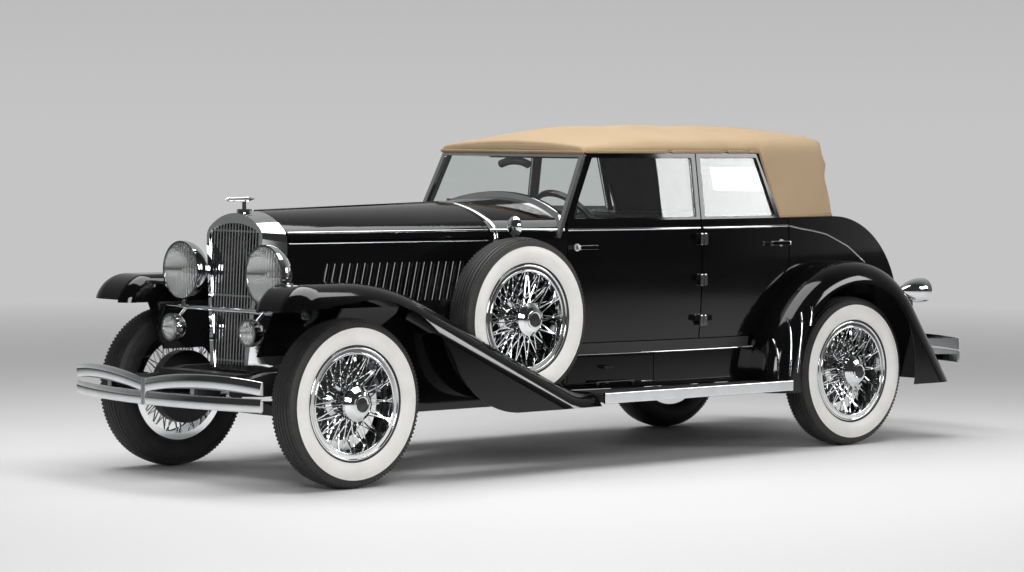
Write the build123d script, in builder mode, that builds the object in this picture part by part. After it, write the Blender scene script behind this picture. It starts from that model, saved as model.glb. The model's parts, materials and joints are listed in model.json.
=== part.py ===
"""Four-door convertible sedan of the early 1930s, as an assembly of separate pieces.

Millimetres. X points forward, Y to the car's left and Z up. The origin lies on the
ground, midway along the overall length.
"""
import os
from math import atan2, cos, degrees, hypot, pi, radians, sin, sqrt, tan

from build123d import *

os.makedirs("parts", exist_ok=True)

# Overall sizes
LENGTH = 5460
FRONT_OVERHANG = 700
WHEELBASE = 3620
TRACK = 1440

# Clearances and common walls
SEAT_GAP = 0.3
MOVE_GAP = 5
PIN_GAP = 0.5
SHEET = 6

# Wheels and tyres
TYRE_RADIUS = 420
TYRE_WIDTH = 184
BEAD_RADIUS = 262
RIM_WIDTH = 132
RIM_DEPTH = 14
SPOKE_SIZE = 5
SPOKES_IN_ROW = 18
HUB_RADIUS = 58
HUB_LENGTH = 150
HUB_CAP_RADIUS = 86
HUB_CAP_FACE = 122
DRUM_RADIUS = 190
DRUM_WIDTH = 62
SPINDLE_RADIUS = 22

# Body plan: half-widths at the front of the doors, the centre post and the rear of the doors
HALF_WIDTH_FRONT = 600
HALF_WIDTH_POST = 700
HALF_WIDTH_REAR = 685
DOOR_FRONT_SETBACK = 1593
POST_SETBACK = 2500
DOOR_REAR_LEAD = 415

# Body heights
SILL_Z = 585
DOOR_Z = 645
BARREL_Z = 930
BELT_Z = 1290
EAVES_Z = 1655
SILL_TUCK = 28
BELT_TUCK = 10
EAVES_TUCK = 60
DOOR_WALL = 65
FRAME_WALL = 28
GLASS = 6
DOOR_GAP = 8
FLOOR = 25

# Hood and cowl
HOOD_LENGTH = 1225
HOOD_FRONT_LEAD = 15
HOOD_FRONT_HALF = 268
HOOD_REAR_HALF = 420
HOOD_FRONT_TOP = 1350
HOOD_REAR_TOP = 1381
HOOD_SPRING_Z = 1195
HOOD_SPLIT_Z = 1205
HOOD_FOOT_Z = 640
HOOD_SHEET = 8
HINGE_ROD_RADIUS = 6
LEAF_GAP = HINGE_ROD_RADIUS + SEAT_GAP
LOUVRES = 19
COWL_TOP = 1405
COWL_WALL = 25

# Windshield
WINDSHIELD_LEAD = 30
WINDSHIELD_FOOT_Z = 1258
WINDSHIELD_RAKE = 25.4
WINDSHIELD_BAR = 26

# Fenders
FENDER_OUT = 166
FENDER_TOP_Z = 1014
FENDER_LIP_Z = 330
FENDER_SLOPE = 25.5
FENDER_TOE_Z = 400
FENDER_NOSE_LEAD = 445
FENDER_TAIL_SETBACK = 1600
FENDER_INNER = 520
FENDER_ROUND = 140
REAR_FENDER_TOP_Z = 1040
REAR_FENDER_LEAD = 717
REAR_FENDER_INNER = 450
REAR_FENDER_ROUND = 125
SPARE_SETBACK = 1140
SPARE_Z = 797

# Running boards
BOARD_Z = 395
BOARD_THICK = 46

# Frame
RAIL_OUT = 378
RAIL_WIDTH = 60
RAIL_TOP_Z = 555
RAIL_FOOT_Z = 440

# Positions worked out from the sizes above
AXLE_F = LENGTH / 2 - FRONT_OVERHANG
AXLE_R = AXLE_F - WHEELBASE
AXLE_Z = TYRE_RADIUS
WHEEL_Y = TRACK / 2
FENDER_Y = WHEEL_Y + FENDER_OUT
DOOR_FRONT_X = AXLE_F - DOOR_FRONT_SETBACK
POST_X = AXLE_F - POST_SETBACK
DOOR_REAR_X = AXLE_R + DOOR_REAR_LEAD
HOOD_FRONT_X = AXLE_F + HOOD_FRONT_LEAD
COWL_X = HOOD_FRONT_X - HOOD_LENGTH
SPARE_X = AXLE_F - SPARE_SETBACK
WINDSHIELD_X = DOOR_FRONT_X + WINDSHIELD_LEAD


def circle_through(first, second, third):
    """Centre and radius of the circle through three points of the plan."""
    (ax, ay), (bx, by), (cx, cy) = first, second, third
    twice_area = 2 * (ax * (by - cy) + bx * (cy - ay) + cx * (ay - by))
    a_sq, b_sq, c_sq = ax**2 + ay**2, bx**2 + by**2, cx**2 + cy**2
    x = (a_sq * (by - cy) + b_sq * (cy - ay) + c_sq * (ay - by)) / twice_area
    y = (a_sq * (cx - bx) + b_sq * (ax - cx) + c_sq * (bx - ax)) / twice_area
    return x, y, hypot(ax - x, ay - y)


PLAN_X, PLAN_Y, PLAN_R = circle_through(
    (DOOR_FRONT_X, HALF_WIDTH_FRONT), (POST_X, HALF_WIDTH_POST), (DOOR_REAR_X, HALF_WIDTH_REAR)
)
PLAN_START = 14
PLAN_SWEEP = 36


def plan_y(x, inset=0):
    """Half-width of the body at x, measured inset from its widest skin."""
    return PLAN_Y + sqrt((PLAN_R - inset) ** 2 - (x - PLAN_X) ** 2)


def plane_x(x):
    """Plane across the car at x, with local axes Y and Z."""
    return Plane(origin=(x, 0, 0), x_dir=(0, 1, 0), z_dir=(1, 0, 0))


def plane_y(y):
    """Side-view plane at y, with local axes X and Z; extrusions leave it towards -Y."""
    return Plane(origin=(0, y, 0), x_dir=(1, 0, 0), z_dir=(0, -1, 0))


def side_plane():
    """Plane through the body side's turning axis, with local axes radius and Z."""
    across, along = sin(radians(PLAN_START)), cos(radians(PLAN_START))
    return Plane(origin=(PLAN_X, PLAN_Y, 0), x_dir=(across, along, 0), z_dir=(along, -across, 0))


PLAN_AXIS = Axis((PLAN_X, PLAN_Y, 0), (0, 0, 1))


def side_prism(outline, y_low, y_high, rounding=0):
    """Prism of a side-view outline (x, z) between two planes of constant y."""
    with BuildPart() as prism:
        with BuildSketch(plane_y(y_high)) as face:
            with BuildLine():
                Polyline(*outline, close=True)
            make_face()
            if rounding:
                fillet(face.vertices(), rounding)
        extrude(amount=y_high - y_low)
    return prism.part


def cross_cylinder(x, z, radius, y_low, y_high):
    """Cylinder along Y."""
    with BuildPart() as drum:
        with BuildSketch(plane_y(y_high)):
            with Locations((x, z)):
                Circle(radius)
        extrude(amount=y_high - y_low)
    return drum.part


def side_band(profile):
    """Band of the left body side: a profile (inset, z) turned about the plan's centre."""
    with BuildPart() as band:
        with BuildSketch(side_plane()):
            with BuildLine():
                Polyline(*[(PLAN_R - inset, z) for inset, z in profile], close=True)
            make_face()
        revolve(axis=PLAN_AXIS, revolution_arc=PLAN_SWEEP)
    return band.part


def skin_band(inner, low_z=DOOR_Z, high_z=BELT_Z, skin=0):
    """Barrel-shaped band of the left body side between two heights, from the skin to a flat inner wall."""
    with BuildPart() as band:
        with BuildSketch(side_plane()):
            with BuildLine():
                ThreePointArc(
                    (PLAN_R - skin - SILL_TUCK, SILL_Z),
                    (PLAN_R - skin, BARREL_Z),
                    (PLAN_R - skin - BELT_TUCK, BELT_Z),
                )
                Polyline(
                    (PLAN_R - skin - BELT_TUCK, BELT_Z),
                    (PLAN_R - inner, BELT_Z),
                    (PLAN_R - inner, SILL_Z),
                    (PLAN_R - skin - SILL_TUCK, SILL_Z),
                )
            make_face()
            with Locations((PLAN_R, (low_z + high_z) / 2)):
                Rectangle(4 * HALF_WIDTH_POST, high_z - low_z, mode=Mode.INTERSECT)
        revolve(axis=PLAN_AXIS, revolution_arc=PLAN_SWEEP)
    return band.part


def both_sides(piece):
    """A left-hand piece with its mirror image."""
    with BuildPart() as pair:
        add(piece)
        mirror(about=Plane.XZ)
    return pair.part


def arch_face(low_half, low, half, spring, top, corner):
    """Panel with a flat foot, straight sides and a three-centred arch, for the open sketch."""
    rise, run = top - spring, half - corner
    crown = (rise**2 + run**2 - corner**2) / (2 * (rise - corner))
    turn = atan2(crown - rise, run)
    join = (run + corner * cos(turn), spring + corner * sin(turn))
    middle = (run + corner * cos(turn / 2), spring + corner * sin(turn / 2))
    with BuildLine() as outline:
        Polyline((-half, spring), (-low_half, low), (low_half, low), (half, spring))
        ThreePointArc((half, spring), middle, join)
        ThreePointArc(join, (0, top), (-join[0], join[1]))
        ThreePointArc((-join[0], join[1]), (-middle[0], middle[1]), (-half, spring))
    make_face(outline.edges())


# Sections of hood and cowl: x, foot half-width, half-width, height where the arch springs, top, corner radius
HOOD_SECTIONS = {
    "front": (HOOD_FRONT_X, HOOD_FRONT_HALF, HOOD_FRONT_HALF, HOOD_SPRING_Z, HOOD_FRONT_TOP, 90),
    "rear": (COWL_X, HOOD_REAR_HALF, HOOD_REAR_HALF, HOOD_SPRING_Z, HOOD_REAR_TOP, 110),
    "door": (DOOR_FRONT_X, HALF_WIDTH_FRONT - SILL_TUCK, HALF_WIDTH_FRONT, HOOD_SPRING_Z, COWL_TOP, 120),
}


def blended_section(first, second, x):
    """Section between or beyond two named sections, at x."""
    start, end = HOOD_SECTIONS[first], HOOD_SECTIONS[second]
    share = (x - start[0]) / (end[0] - start[0])
    return tuple(a + share * (b - a) for a, b in zip(start, end))


def arched_block(first, second, x_start, x_end, foot_z, inset=0):
    """Solid between two arched sections of hood or cowl."""
    with BuildPart() as block:
        for x in (x_start, x_end):
            at_x, low_half, half, spring, top, corner = blended_section(first, second, x)
            with BuildSketch(plane_x(at_x)):
                arch_face(low_half - inset, foot_z, half - inset, spring, top - inset, corner - inset / 2)
        loft()
    return block.part


def finish(piece, name):
    """Label a finished piece and write it out."""
    piece.label = name
    export_step(piece, f"parts/{name}.step")


RIM_FLANGE = 6
RIM_LIP = BEAD_RADIUS + 20
RIM_WELL = BEAD_RADIUS - RIM_DEPTH - SPOKE_SIZE
CAP_BASE = HUB_CAP_FACE - 44
WHEEL_SECTION = Plane(origin=(0, 0, 0), x_dir=(0, 1, 0), z_dir=(-1, 0, 0))


def turned(outline):
    """Ring or hub turned about Y from an outline of (offset along Y, radius)."""
    with BuildPart() as ring:
        with BuildSketch(WHEEL_SECTION):
            with BuildLine():
                Polyline(*[(offset, -radius) for offset, radius in outline], close=True)
            make_face()
        revolve(axis=Axis.Y)
    return ring.part


def tyre_ring():
    """Tyre about the origin, its axis along Y, with flat-faced sidewalls and a crowned tread."""
    half = TYRE_WIDTH / 2
    bead_half = RIM_WIDTH / 2 - RIM_FLANGE - SEAT_GAP
    side = [
        (bead_half, BEAD_RADIUS + SEAT_GAP),
        (bead_half, RIM_LIP + 1),
        (half, (RIM_LIP + TYRE_RADIUS) / 2 - 12),
        (half - 5, TYRE_RADIUS - 44),
        (half - 28, TYRE_RADIUS - 9),
    ]
    return turned([*side, (0, TYRE_RADIUS), *[(-y, r) for y, r in reversed(side)]])


def wire_wheel(drum):
    """Wire wheel about the origin, its outer face towards +Y: rim, hub with stepped cap, and laced spokes."""
    half = RIM_WIDTH / 2
    bore = SPINDLE_RADIUS + PIN_GAP
    rim = turned(
        [
            (-half, RIM_LIP),
            (-half, BEAD_RADIUS - RIM_DEPTH),
            (-half / 3, RIM_WELL),
            (half / 3, RIM_WELL),
            (half, BEAD_RADIUS - RIM_DEPTH),
            (half, RIM_LIP),
            (half - RIM_FLANGE, RIM_LIP),
            (half - RIM_FLANGE, BEAD_RADIUS),
            (half / 3, BEAD_RADIUS - 4),
            (-half / 3, BEAD_RADIUS - 4),
            (-half + RIM_FLANGE, BEAD_RADIUS),
            (-half + RIM_FLANGE, RIM_LIP),
        ]
    )
    hub = turned(
        [
            (-HUB_LENGTH / 2, bore),
            (-HUB_LENGTH / 2, HUB_RADIUS + 24),
            (-HUB_LENGTH / 2 + 14, HUB_RADIUS + 24),
            (-HUB_LENGTH / 2 + 30, HUB_RADIUS),
            (CAP_BASE - 20, HUB_RADIUS),
            (CAP_BASE, HUB_CAP_RADIUS),
            (CAP_BASE + 16, HUB_CAP_RADIUS),
            (HUB_CAP_FACE - 10, HUB_CAP_RADIUS - 22),
            (HUB_CAP_FACE, HUB_CAP_RADIUS - 46),
            (HUB_CAP_FACE, 0),
            (CAP_BASE - 4, 0),
            (CAP_BASE - 4, bore),
        ]
    )
    # Spoke rows: offset and radius at the hub, offset at the rim, lean round the hub in degrees
    spoke_rows = (
        (-HUB_LENGTH / 2 + 7, HUB_RADIUS + 16, -14, 24),
        (-HUB_LENGTH / 2 + 7, HUB_RADIUS + 16, 2, -24),
        (CAP_BASE - 24, HUB_RADIUS - 4, 12, 30),
        (CAP_BASE - 24, HUB_RADIUS - 4, 20, -30),
    )
    spokes = []
    for hub_offset, hub_radius, rim_offset, lean in spoke_rows:
        foot = Vector(hub_radius, hub_offset, 0).rotate(Axis.Y, lean)
        head = Vector(RIM_WELL + 3, rim_offset, 0)
        with BuildPart() as spoke:
            with BuildSketch(Plane(origin=foot, z_dir=head - foot)):
                Rectangle(SPOKE_SIZE, SPOKE_SIZE)
            extrude(amount=(head - foot).length)
        step = 360 / SPOKES_IN_ROW
        spokes += [spoke.part.rotate(Axis.Y, step * number) for number in range(SPOKES_IN_ROW)]
    with BuildPart() as wheel:
        add(rim)
        add([hub, *spokes])
        if drum:
            inner = -HUB_LENGTH / 2 + 8
            edge = inner - DRUM_WIDTH
            drum_ring = [(inner, bore), (inner, DRUM_RADIUS), (edge, DRUM_RADIUS), (edge, bore)]
            add(turned(drum_ring))
    return wheel.part


def placed(piece, x, y, z):
    """A wheel piece at its corner, turned to face outward."""
    outward = 0 if y > 0 else 180
    return Pos(x, y, z) * Rot(0, 0, outward) * piece


# Road wheels: corner, x, y
ROAD_WHEELS = (
    ("front_left", AXLE_F, WHEEL_Y),
    ("front_right", AXLE_F, -WHEEL_Y),
    ("rear_left", AXLE_R, WHEEL_Y),
    ("rear_right", AXLE_R, -WHEEL_Y),
)
TYRE = tyre_ring()
ROAD_WHEEL = wire_wheel(drum=True)
for corner, wheel_x, wheel_y in ROAD_WHEELS:
    finish(placed(TYRE, wheel_x, wheel_y, AXLE_Z), f"tyre_{corner}")
    finish(placed(ROAD_WHEEL, wheel_x, wheel_y, AXLE_Z), f"wheel_{corner}")
finish(both_sides(placed(TYRE, SPARE_X, WHEEL_Y, SPARE_Z)), "spare_tyres")
finish(both_sides(placed(wire_wheel(drum=False), SPARE_X, WHEEL_Y, SPARE_Z)), "spare_wheels")

# Fenders: the crown is a filleted side view, hollowed to sheet thickness
SLOPE = radians(FENDER_SLOPE)
FENDER_NOSE_X = AXLE_F + FENDER_NOSE_LEAD
FENDER_TAIL_X = AXLE_F - FENDER_TAIL_SETBACK
FENDER_TOE_X = SPARE_X - 349
FENDER_KNEE_X = FENDER_TOE_X + (FENDER_TOP_Z - FENDER_TOE_Z) / tan(SLOPE)
TOE_SWEEP = 400
KNEE_SWEEP = 1200
NOSE_SWEEP = 170


def crown_edges(form, y, floor_z, end_x=None):
    """Upper edges of a fender form on its flat side at y."""
    face = form.faces().filter_by(Axis.Y).sort_by(lambda f: abs(f.center().Y - y))[0]
    edges = face.edges().filter_by(lambda e: e.center().Z > floor_z + 1)
    if end_x is None:
        return edges
    return edges.filter_by(lambda e: abs(e.center().X - end_x) > 1)


def front_fender_form(inset):
    """Front fender's outer form, or the space inside it, for the left side."""
    shift = inset * tan(SLOPE / 2)
    foot_z = FENDER_LIP_Z - FENDER_ROUND - inset * 2
    tail_x = FENDER_TAIL_X + inset
    nose = (FENDER_NOSE_X - inset, FENDER_TOP_Z - inset)
    with BuildPart() as form:
        with BuildSketch(plane_y(FENDER_Y - inset)):
            with BuildLine():
                FilletPolyline(
                    (tail_x, FENDER_TOE_Z - inset),
                    (FENDER_TOE_X + shift, FENDER_TOE_Z - inset),
                    (FENDER_KNEE_X + shift, FENDER_TOP_Z - inset),
                    nose,
                    (nose[0], foot_z),
                    radius=[TOE_SWEEP + inset, KNEE_SWEEP - inset, NOSE_SWEEP - inset],
                )
                Polyline((nose[0], foot_z), (tail_x, foot_z), (tail_x, FENDER_TOE_Z - inset))
            make_face()
        extrude(amount=FENDER_Y - FENDER_INNER - 2 * inset)
        fillet(crown_edges(form, FENDER_Y - inset, foot_z, tail_x), FENDER_ROUND - inset)
        fillet(crown_edges(form, FENDER_INNER + inset, foot_z, tail_x), FENDER_ROUND / 2 - inset)
    return form.part


ARCH_TOP = AXLE_Z + 508
INNER_CUT_Y = FENDER_INNER + FENDER_ROUND / 2
front_outer = front_fender_form(0)
front_inner = front_fender_form(SHEET)
with BuildPart() as front_arch:
    with BuildSketch(plane_y(FENDER_Y + 100)):
        with BuildLine():
            Line((FENDER_NOSE_X + 100, ARCH_TOP - 53), (AXLE_F + 20, ARCH_TOP))
            ThreePointArc((AXLE_F + 20, ARCH_TOP), (AXLE_F - 390, ARCH_TOP - 108), (AXLE_F - 590, AXLE_Z + 140))
            ThreePointArc(
                (AXLE_F - 590, AXLE_Z + 140), (AXLE_F - 735, AXLE_Z - 5), (AXLE_F - 1030, FENDER_LIP_Z - 1)
            )
            Polyline(
                (AXLE_F - 1030, FENDER_LIP_Z - 1),
                (AXLE_F - 1030, FENDER_LIP_Z - 100),
                (FENDER_NOSE_X + 100, FENDER_LIP_Z - 100),
                (FENDER_NOSE_X + 100, ARCH_TOP - 53),
            )
        make_face()
    extrude(amount=FENDER_Y + 100 - INNER_CUT_Y)
WELL_HALF = TYRE_WIDTH / 2 + 14
WELL_RADIUS = TYRE_RADIUS + SEAT_GAP
well_skin = cross_cylinder(
    SPARE_X, SPARE_Z, WELL_RADIUS + SHEET, WHEEL_Y - WELL_HALF - SHEET, WHEEL_Y + WELL_HALF + SHEET
)
well_space = cross_cylinder(SPARE_X, SPARE_Z, WELL_RADIUS, WHEEL_Y - WELL_HALF, WHEEL_Y + WELL_HALF)
cowl_outside = arched_block("rear", "door", COWL_X, DOOR_FRONT_X - 60, FENDER_LIP_Z - 100, -SEAT_GAP)
hood_outside = arched_block("front", "rear", HOOD_FRONT_X, COWL_X, FENDER_LIP_Z - 100, -SEAT_GAP)
INNER_LIP_Z = TYRE_RADIUS * 2 + 32
APRON_FOOT_Y = RAIL_OUT + 8
APRON_LEAD = 300
APRON_REAR_X = SPARE_X + WELL_RADIUS + 180
with BuildPart() as front_fender:
    add(front_outer)
    add(front_inner, mode=Mode.SUBTRACT)
    add(front_arch.part, mode=Mode.SUBTRACT)
    with BuildSketch(plane_y(INNER_CUT_Y)):
        with BuildLine():
            Polyline(
                (APRON_REAR_X, INNER_LIP_Z),
                (FENDER_NOSE_X + 100, INNER_LIP_Z),
                (FENDER_NOSE_X + 100, FENDER_LIP_Z - 200),
                (APRON_REAR_X, FENDER_LIP_Z - 200),
                close=True,
            )
        make_face()
    extrude(amount=INNER_CUT_Y - FENDER_INNER + 50, mode=Mode.SUBTRACT)
with BuildPart() as well_pan:
    add(well_skin)
    add(front_outer, mode=Mode.INTERSECT)
below_lip = side_prism(
    [
        (FENDER_NOSE_X + 100, FENDER_LIP_Z),
        (AXLE_R - LENGTH / 2, FENDER_LIP_Z),
        (AXLE_R - LENGTH / 2, -FENDER_LIP_Z),
        (FENDER_NOSE_X + 100, -FENDER_LIP_Z),
    ],
    -FENDER_Y,
    FENDER_Y + 100,
)
# Splash apron from the fender's inner lip down to the frame rail
with BuildPart() as inner_apron:
    with BuildSketch(plane_x(APRON_REAR_X - 60)):
        with BuildLine():
            Polyline(
                (FENDER_INNER, INNER_LIP_Z + 40),
                (FENDER_INNER + SHEET, INNER_LIP_Z + 40),
                (FENDER_INNER + SHEET, INNER_LIP_Z),
                (APRON_FOOT_Y + SHEET, HOOD_FOOT_Z),
                (APRON_FOOT_Y, HOOD_FOOT_Z),
                (FENDER_INNER, INNER_LIP_Z),
                close=True,
            )
        make_face()
    extrude(amount=AXLE_F + APRON_LEAD - APRON_REAR_X + 60)
with BuildPart() as front_fender_whole:
    add(front_fender.part)
    add(inner_apron.part)
    add(well_pan.part)
    add(well_space, mode=Mode.SUBTRACT)
    add(cowl_outside, mode=Mode.SUBTRACT)
    add(hood_outside, mode=Mode.SUBTRACT)
    add(below_lip, mode=Mode.SUBTRACT)
finish(both_sides(front_fender_whole.part), "front_fenders")

# Rear fenders
REAR_FENDER_X = AXLE_R + REAR_FENDER_LEAD
REAR_TAIL_SLOPE = radians(54.5)
REAR_FRONT_SWEEP = 690
REAR_TAIL_SWEEP = 590
REAR_SHOULDER_X = AXLE_R - 297


def rear_fender_form(inset):
    """Rear fender's outer form, or the space inside it, for the left side."""
    front_x = REAR_FENDER_X - inset
    top_z = REAR_FENDER_TOP_Z - inset
    shoulder_x = REAR_SHOULDER_X + inset * tan(REAR_TAIL_SLOPE / 2)
    foot_z = FENDER_LIP_Z - REAR_FENDER_ROUND - inset * 2
    tail_x = shoulder_x - (top_z - foot_z) / tan(REAR_TAIL_SLOPE)
    with BuildPart() as form:
        with BuildSketch(plane_y(FENDER_Y - inset)):
            with BuildLine():
                FilletPolyline(
                    (front_x, foot_z),
                    (front_x, top_z),
                    (shoulder_x, top_z),
                    (tail_x, foot_z),
                    radius=[REAR_FRONT_SWEEP - inset, REAR_TAIL_SWEEP - inset],
                )
                Line((tail_x, foot_z), (front_x, foot_z))
            make_face()
        extrude(amount=FENDER_Y - REAR_FENDER_INNER - 2 * inset)
        fillet(crown_edges(form, FENDER_Y - inset, foot_z), REAR_FENDER_ROUND - inset)
    return form.part


def body_block(skin, low_z, high_z):
    """Solid between the two body sides; a negative skin value makes it wider."""
    left = skin_band(2 * HALF_WIDTH_POST, low_z, high_z, skin)
    with BuildPart() as block:
        add(left)
        add(left.mirror(Plane.XZ), mode=Mode.INTERSECT)
    return block.part


rear_outer = rear_fender_form(0)
rear_inner = rear_fender_form(SHEET)
body_outside = body_block(-SEAT_GAP, SILL_Z, BELT_Z)
axle_space = side_prism(
    [
        (REAR_FENDER_X + 100, FENDER_LIP_Z - 200),
        (AXLE_R - TYRE_RADIUS, FENDER_LIP_Z - 200),
        (AXLE_R - TYRE_RADIUS, SILL_Z + 1),
        (REAR_FENDER_X + 100, SILL_Z + 1),
    ],
    0,
    WHEEL_Y - TYRE_WIDTH / 2,
)
REAR_ARCH_TOP = AXLE_Z + 500
with BuildPart() as rear_arch:
    with BuildSketch(plane_y(FENDER_Y + 100)):
        with BuildLine():
            ThreePointArc(
                (AXLE_R + 517, FENDER_LIP_Z - 1), (AXLE_R + 18, REAR_ARCH_TOP), (AXLE_R - 425, FENDER_LIP_Z - 1)
            )
            Line((AXLE_R - 425, FENDER_LIP_Z - 1), (AXLE_R + 517, FENDER_LIP_Z - 1))
        make_face()
    extrude(amount=FENDER_Y + 100 - WHEEL_Y)
with BuildPart() as rear_fender:
    add(rear_outer)
    add(rear_inner, mode=Mode.SUBTRACT)
    add(rear_arch.part, mode=Mode.SUBTRACT)
    add(body_outside, mode=Mode.SUBTRACT)
    add(axle_space, mode=Mode.SUBTRACT)
    add(below_lip, mode=Mode.SUBTRACT)
finish(both_sides(rear_fender.part), "rear_fenders")

# Body shell behind the doors: side skins, deck, wheelhouse recesses
DECK_X = AXLE_R
DECK_Z = 570
DECK_REACH = 770
REAR_WALL = 125
WHEELHOUSE_RADIUS = TYRE_RADIUS + 60
WHEELHOUSE_Y = WHEEL_Y - HUB_LENGTH / 2 - DRUM_WIDTH - MOVE_GAP
DIFF_RADIUS = 176
DOOR_ARC_RADIUS = 730
HALF_GAP = DOOR_GAP / 2


def deck_prism(inset):
    """Side view of the tail, from the rear of the doors over the deck's quarter ellipse to its foot."""
    with BuildPart() as prism:
        with BuildSketch(plane_y(HALF_WIDTH_POST + 100)):
            with BuildLine():
                EllipticalCenterArc(
                    (DECK_X, DECK_Z), DECK_REACH - inset, BELT_Z - DECK_Z - inset, start_angle=90, arc_size=90
                )
                Polyline(
                    (DECK_X - DECK_REACH + inset, DECK_Z),
                    (DECK_X - DECK_REACH + inset, SILL_Z - 60),
                    (POST_X, SILL_Z - 60),
                    (POST_X, BELT_Z - inset),
                    (DECK_X, BELT_Z - inset),
                )
            make_face()
        extrude(amount=2 * HALF_WIDTH_POST + 200)
    return prism.part


DECK_ROUND = 45
with BuildPart() as tail_outer:
    add(body_block(0, SILL_Z, BELT_Z))
    add(deck_prism(0), mode=Mode.INTERSECT)
door_side = side_prism(
    [
        (POST_X + LENGTH, SILL_Z - 100),
        (POST_X + LENGTH, EAVES_Z),
        (DOOR_REAR_X - HALF_GAP, EAVES_Z),
        (DOOR_REAR_X - HALF_GAP, SILL_Z - 100),
    ],
    -HALF_WIDTH_POST - 100,
    HALF_WIDTH_POST + 100,
)
arc_keep = cross_cylinder(AXLE_R, AXLE_Z, DOOR_ARC_RADIUS - DOOR_GAP, -HALF_WIDTH_POST - 100, HALF_WIDTH_POST + 100)
with BuildPart() as door_space:
    add(door_side)
    add(arc_keep, mode=Mode.SUBTRACT)
with BuildPart() as cabin_space:
    add(body_block(REAR_WALL, SILL_Z + FLOOR, BELT_Z))
    add(deck_prism(COWL_WALL), mode=Mode.INTERSECT)
with BuildPart() as cabin_mouth:
    add(body_block(REAR_WALL, BELT_Z - 2 * COWL_WALL, BELT_Z))
    with BuildSketch(Plane.XY.offset(BELT_Z - 3 * COWL_WALL)):
        with Locations((DECK_X + COWL_WALL - LENGTH / 2, 0)):
            Rectangle(LENGTH, 2 * LENGTH)
    extrude(amount=4 * COWL_WALL, mode=Mode.SUBTRACT)
with BuildPart() as rear_body:
    add(tail_outer.part)
    add(door_space.part, mode=Mode.SUBTRACT)
    add(cabin_space.part, mode=Mode.SUBTRACT)
    add(cabin_mouth.part, mode=Mode.SUBTRACT)
    for side in (1, -1):
        low, high = sorted((side * WHEELHOUSE_Y, side * 2 * HALF_WIDTH_POST))
        add(cross_cylinder(AXLE_R, AXLE_Z, WHEELHOUSE_RADIUS, low, high), mode=Mode.SUBTRACT)
    add(cross_cylinder(AXLE_R, AXLE_Z, DIFF_RADIUS + MOVE_GAP, -WHEELHOUSE_Y, WHEELHOUSE_Y), mode=Mode.SUBTRACT)
finish(rear_body.part, "rear_body")

# Doors: barrel-sided panels with window frames that lean in
FRONT_DOOR_FOOT = (DOOR_FRONT_X - HALF_GAP, DOOR_Z)
FRAME_TOP_Z = EAVES_Z - MOVE_GAP
FRAME_BAR = 28
PILLAR_LEAN = tan(radians(WINDSHIELD_RAKE + 0.5))
REAR_PILLAR_X = DOOR_REAR_X + 75
REAR_PILLAR_LEAN = 135 / (FRAME_TOP_Z - BELT_Z)


def front_pillar(z, setback):
    """Front edge of the front door's window at a height."""
    return DOOR_FRONT_X - HALF_GAP - setback - (z - BELT_Z) * PILLAR_LEAN


def rear_pillar(z, lead):
    """Rear edge of the rear door's window at a height."""
    return REAR_PILLAR_X + lead + (z - BELT_Z) * REAR_PILLAR_LEAN


WINDOW_FOOT_Z = BELT_Z + 12
WINDOW_TOP_Z = FRAME_TOP_Z - FRAME_BAR
PILLAR_BAR = FRAME_BAR / cos(radians(WINDSHIELD_RAKE))
frame_band = side_band(
    [
        (BELT_TUCK, BELT_Z),
        (EAVES_TUCK, FRAME_TOP_Z),
        (EAVES_TUCK + FRAME_WALL, FRAME_TOP_Z),
        (BELT_TUCK + FRAME_WALL, BELT_Z),
    ]
)
GLASS_INSET = (FRAME_WALL - GLASS) / 2
glass_band = side_band(
    [
        (BELT_TUCK + GLASS_INSET, BELT_Z),
        (EAVES_TUCK + GLASS_INSET, FRAME_TOP_Z),
        (EAVES_TUCK + GLASS_INSET + GLASS, FRAME_TOP_Z),
        (BELT_TUCK + GLASS_INSET + GLASS, BELT_Z),
    ]
)
panel_band = skin_band(DOOR_WALL)
HINGE_HEIGHTS = (740, 962, 1184)
HINGE_RADIUS = 11
HINGE_LENGTH = 56
HINGE_OUT = 14
HINGE_OFFSET = 14
HINGE_Y = plan_y(POST_X) + HINGE_OUT
HANDLE_Z = 1150


def window_outline(front, inset):
    """Corners of a door's window opening, reduced all round by an inset."""
    low, high = WINDOW_FOOT_Z + inset, WINDOW_TOP_Z - inset
    bar = PILLAR_BAR + inset
    if front:
        post = POST_X + HALF_GAP + FRAME_BAR + inset
        return [(post, low), (front_pillar(low, bar), low), (front_pillar(high, bar), high), (post, high)]
    post = POST_X - HALF_GAP - FRAME_BAR - inset
    return [(post, low), (rear_pillar(low, bar), low), (rear_pillar(high, bar), high), (post, high)]


def door_outline(front):
    """Corners of a door in side view."""
    if front:
        post = POST_X + HALF_GAP
        return [
            (post, DOOR_Z),
            FRONT_DOOR_FOOT,
            (DOOR_FRONT_X - HALF_GAP, BELT_Z),
            (front_pillar(FRAME_TOP_Z, 0), FRAME_TOP_Z),
            (post, FRAME_TOP_Z),
        ]
    post = POST_X - HALF_GAP
    return [
        (post, DOOR_Z),
        (DOOR_REAR_X + HALF_GAP, DOOR_Z),
        (DOOR_REAR_X + HALF_GAP, BELT_Z),
        (REAR_PILLAR_X, BELT_Z),
        (rear_pillar(FRAME_TOP_Z, 0), FRAME_TOP_Z),
        (post, FRAME_TOP_Z),
    ]


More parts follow.
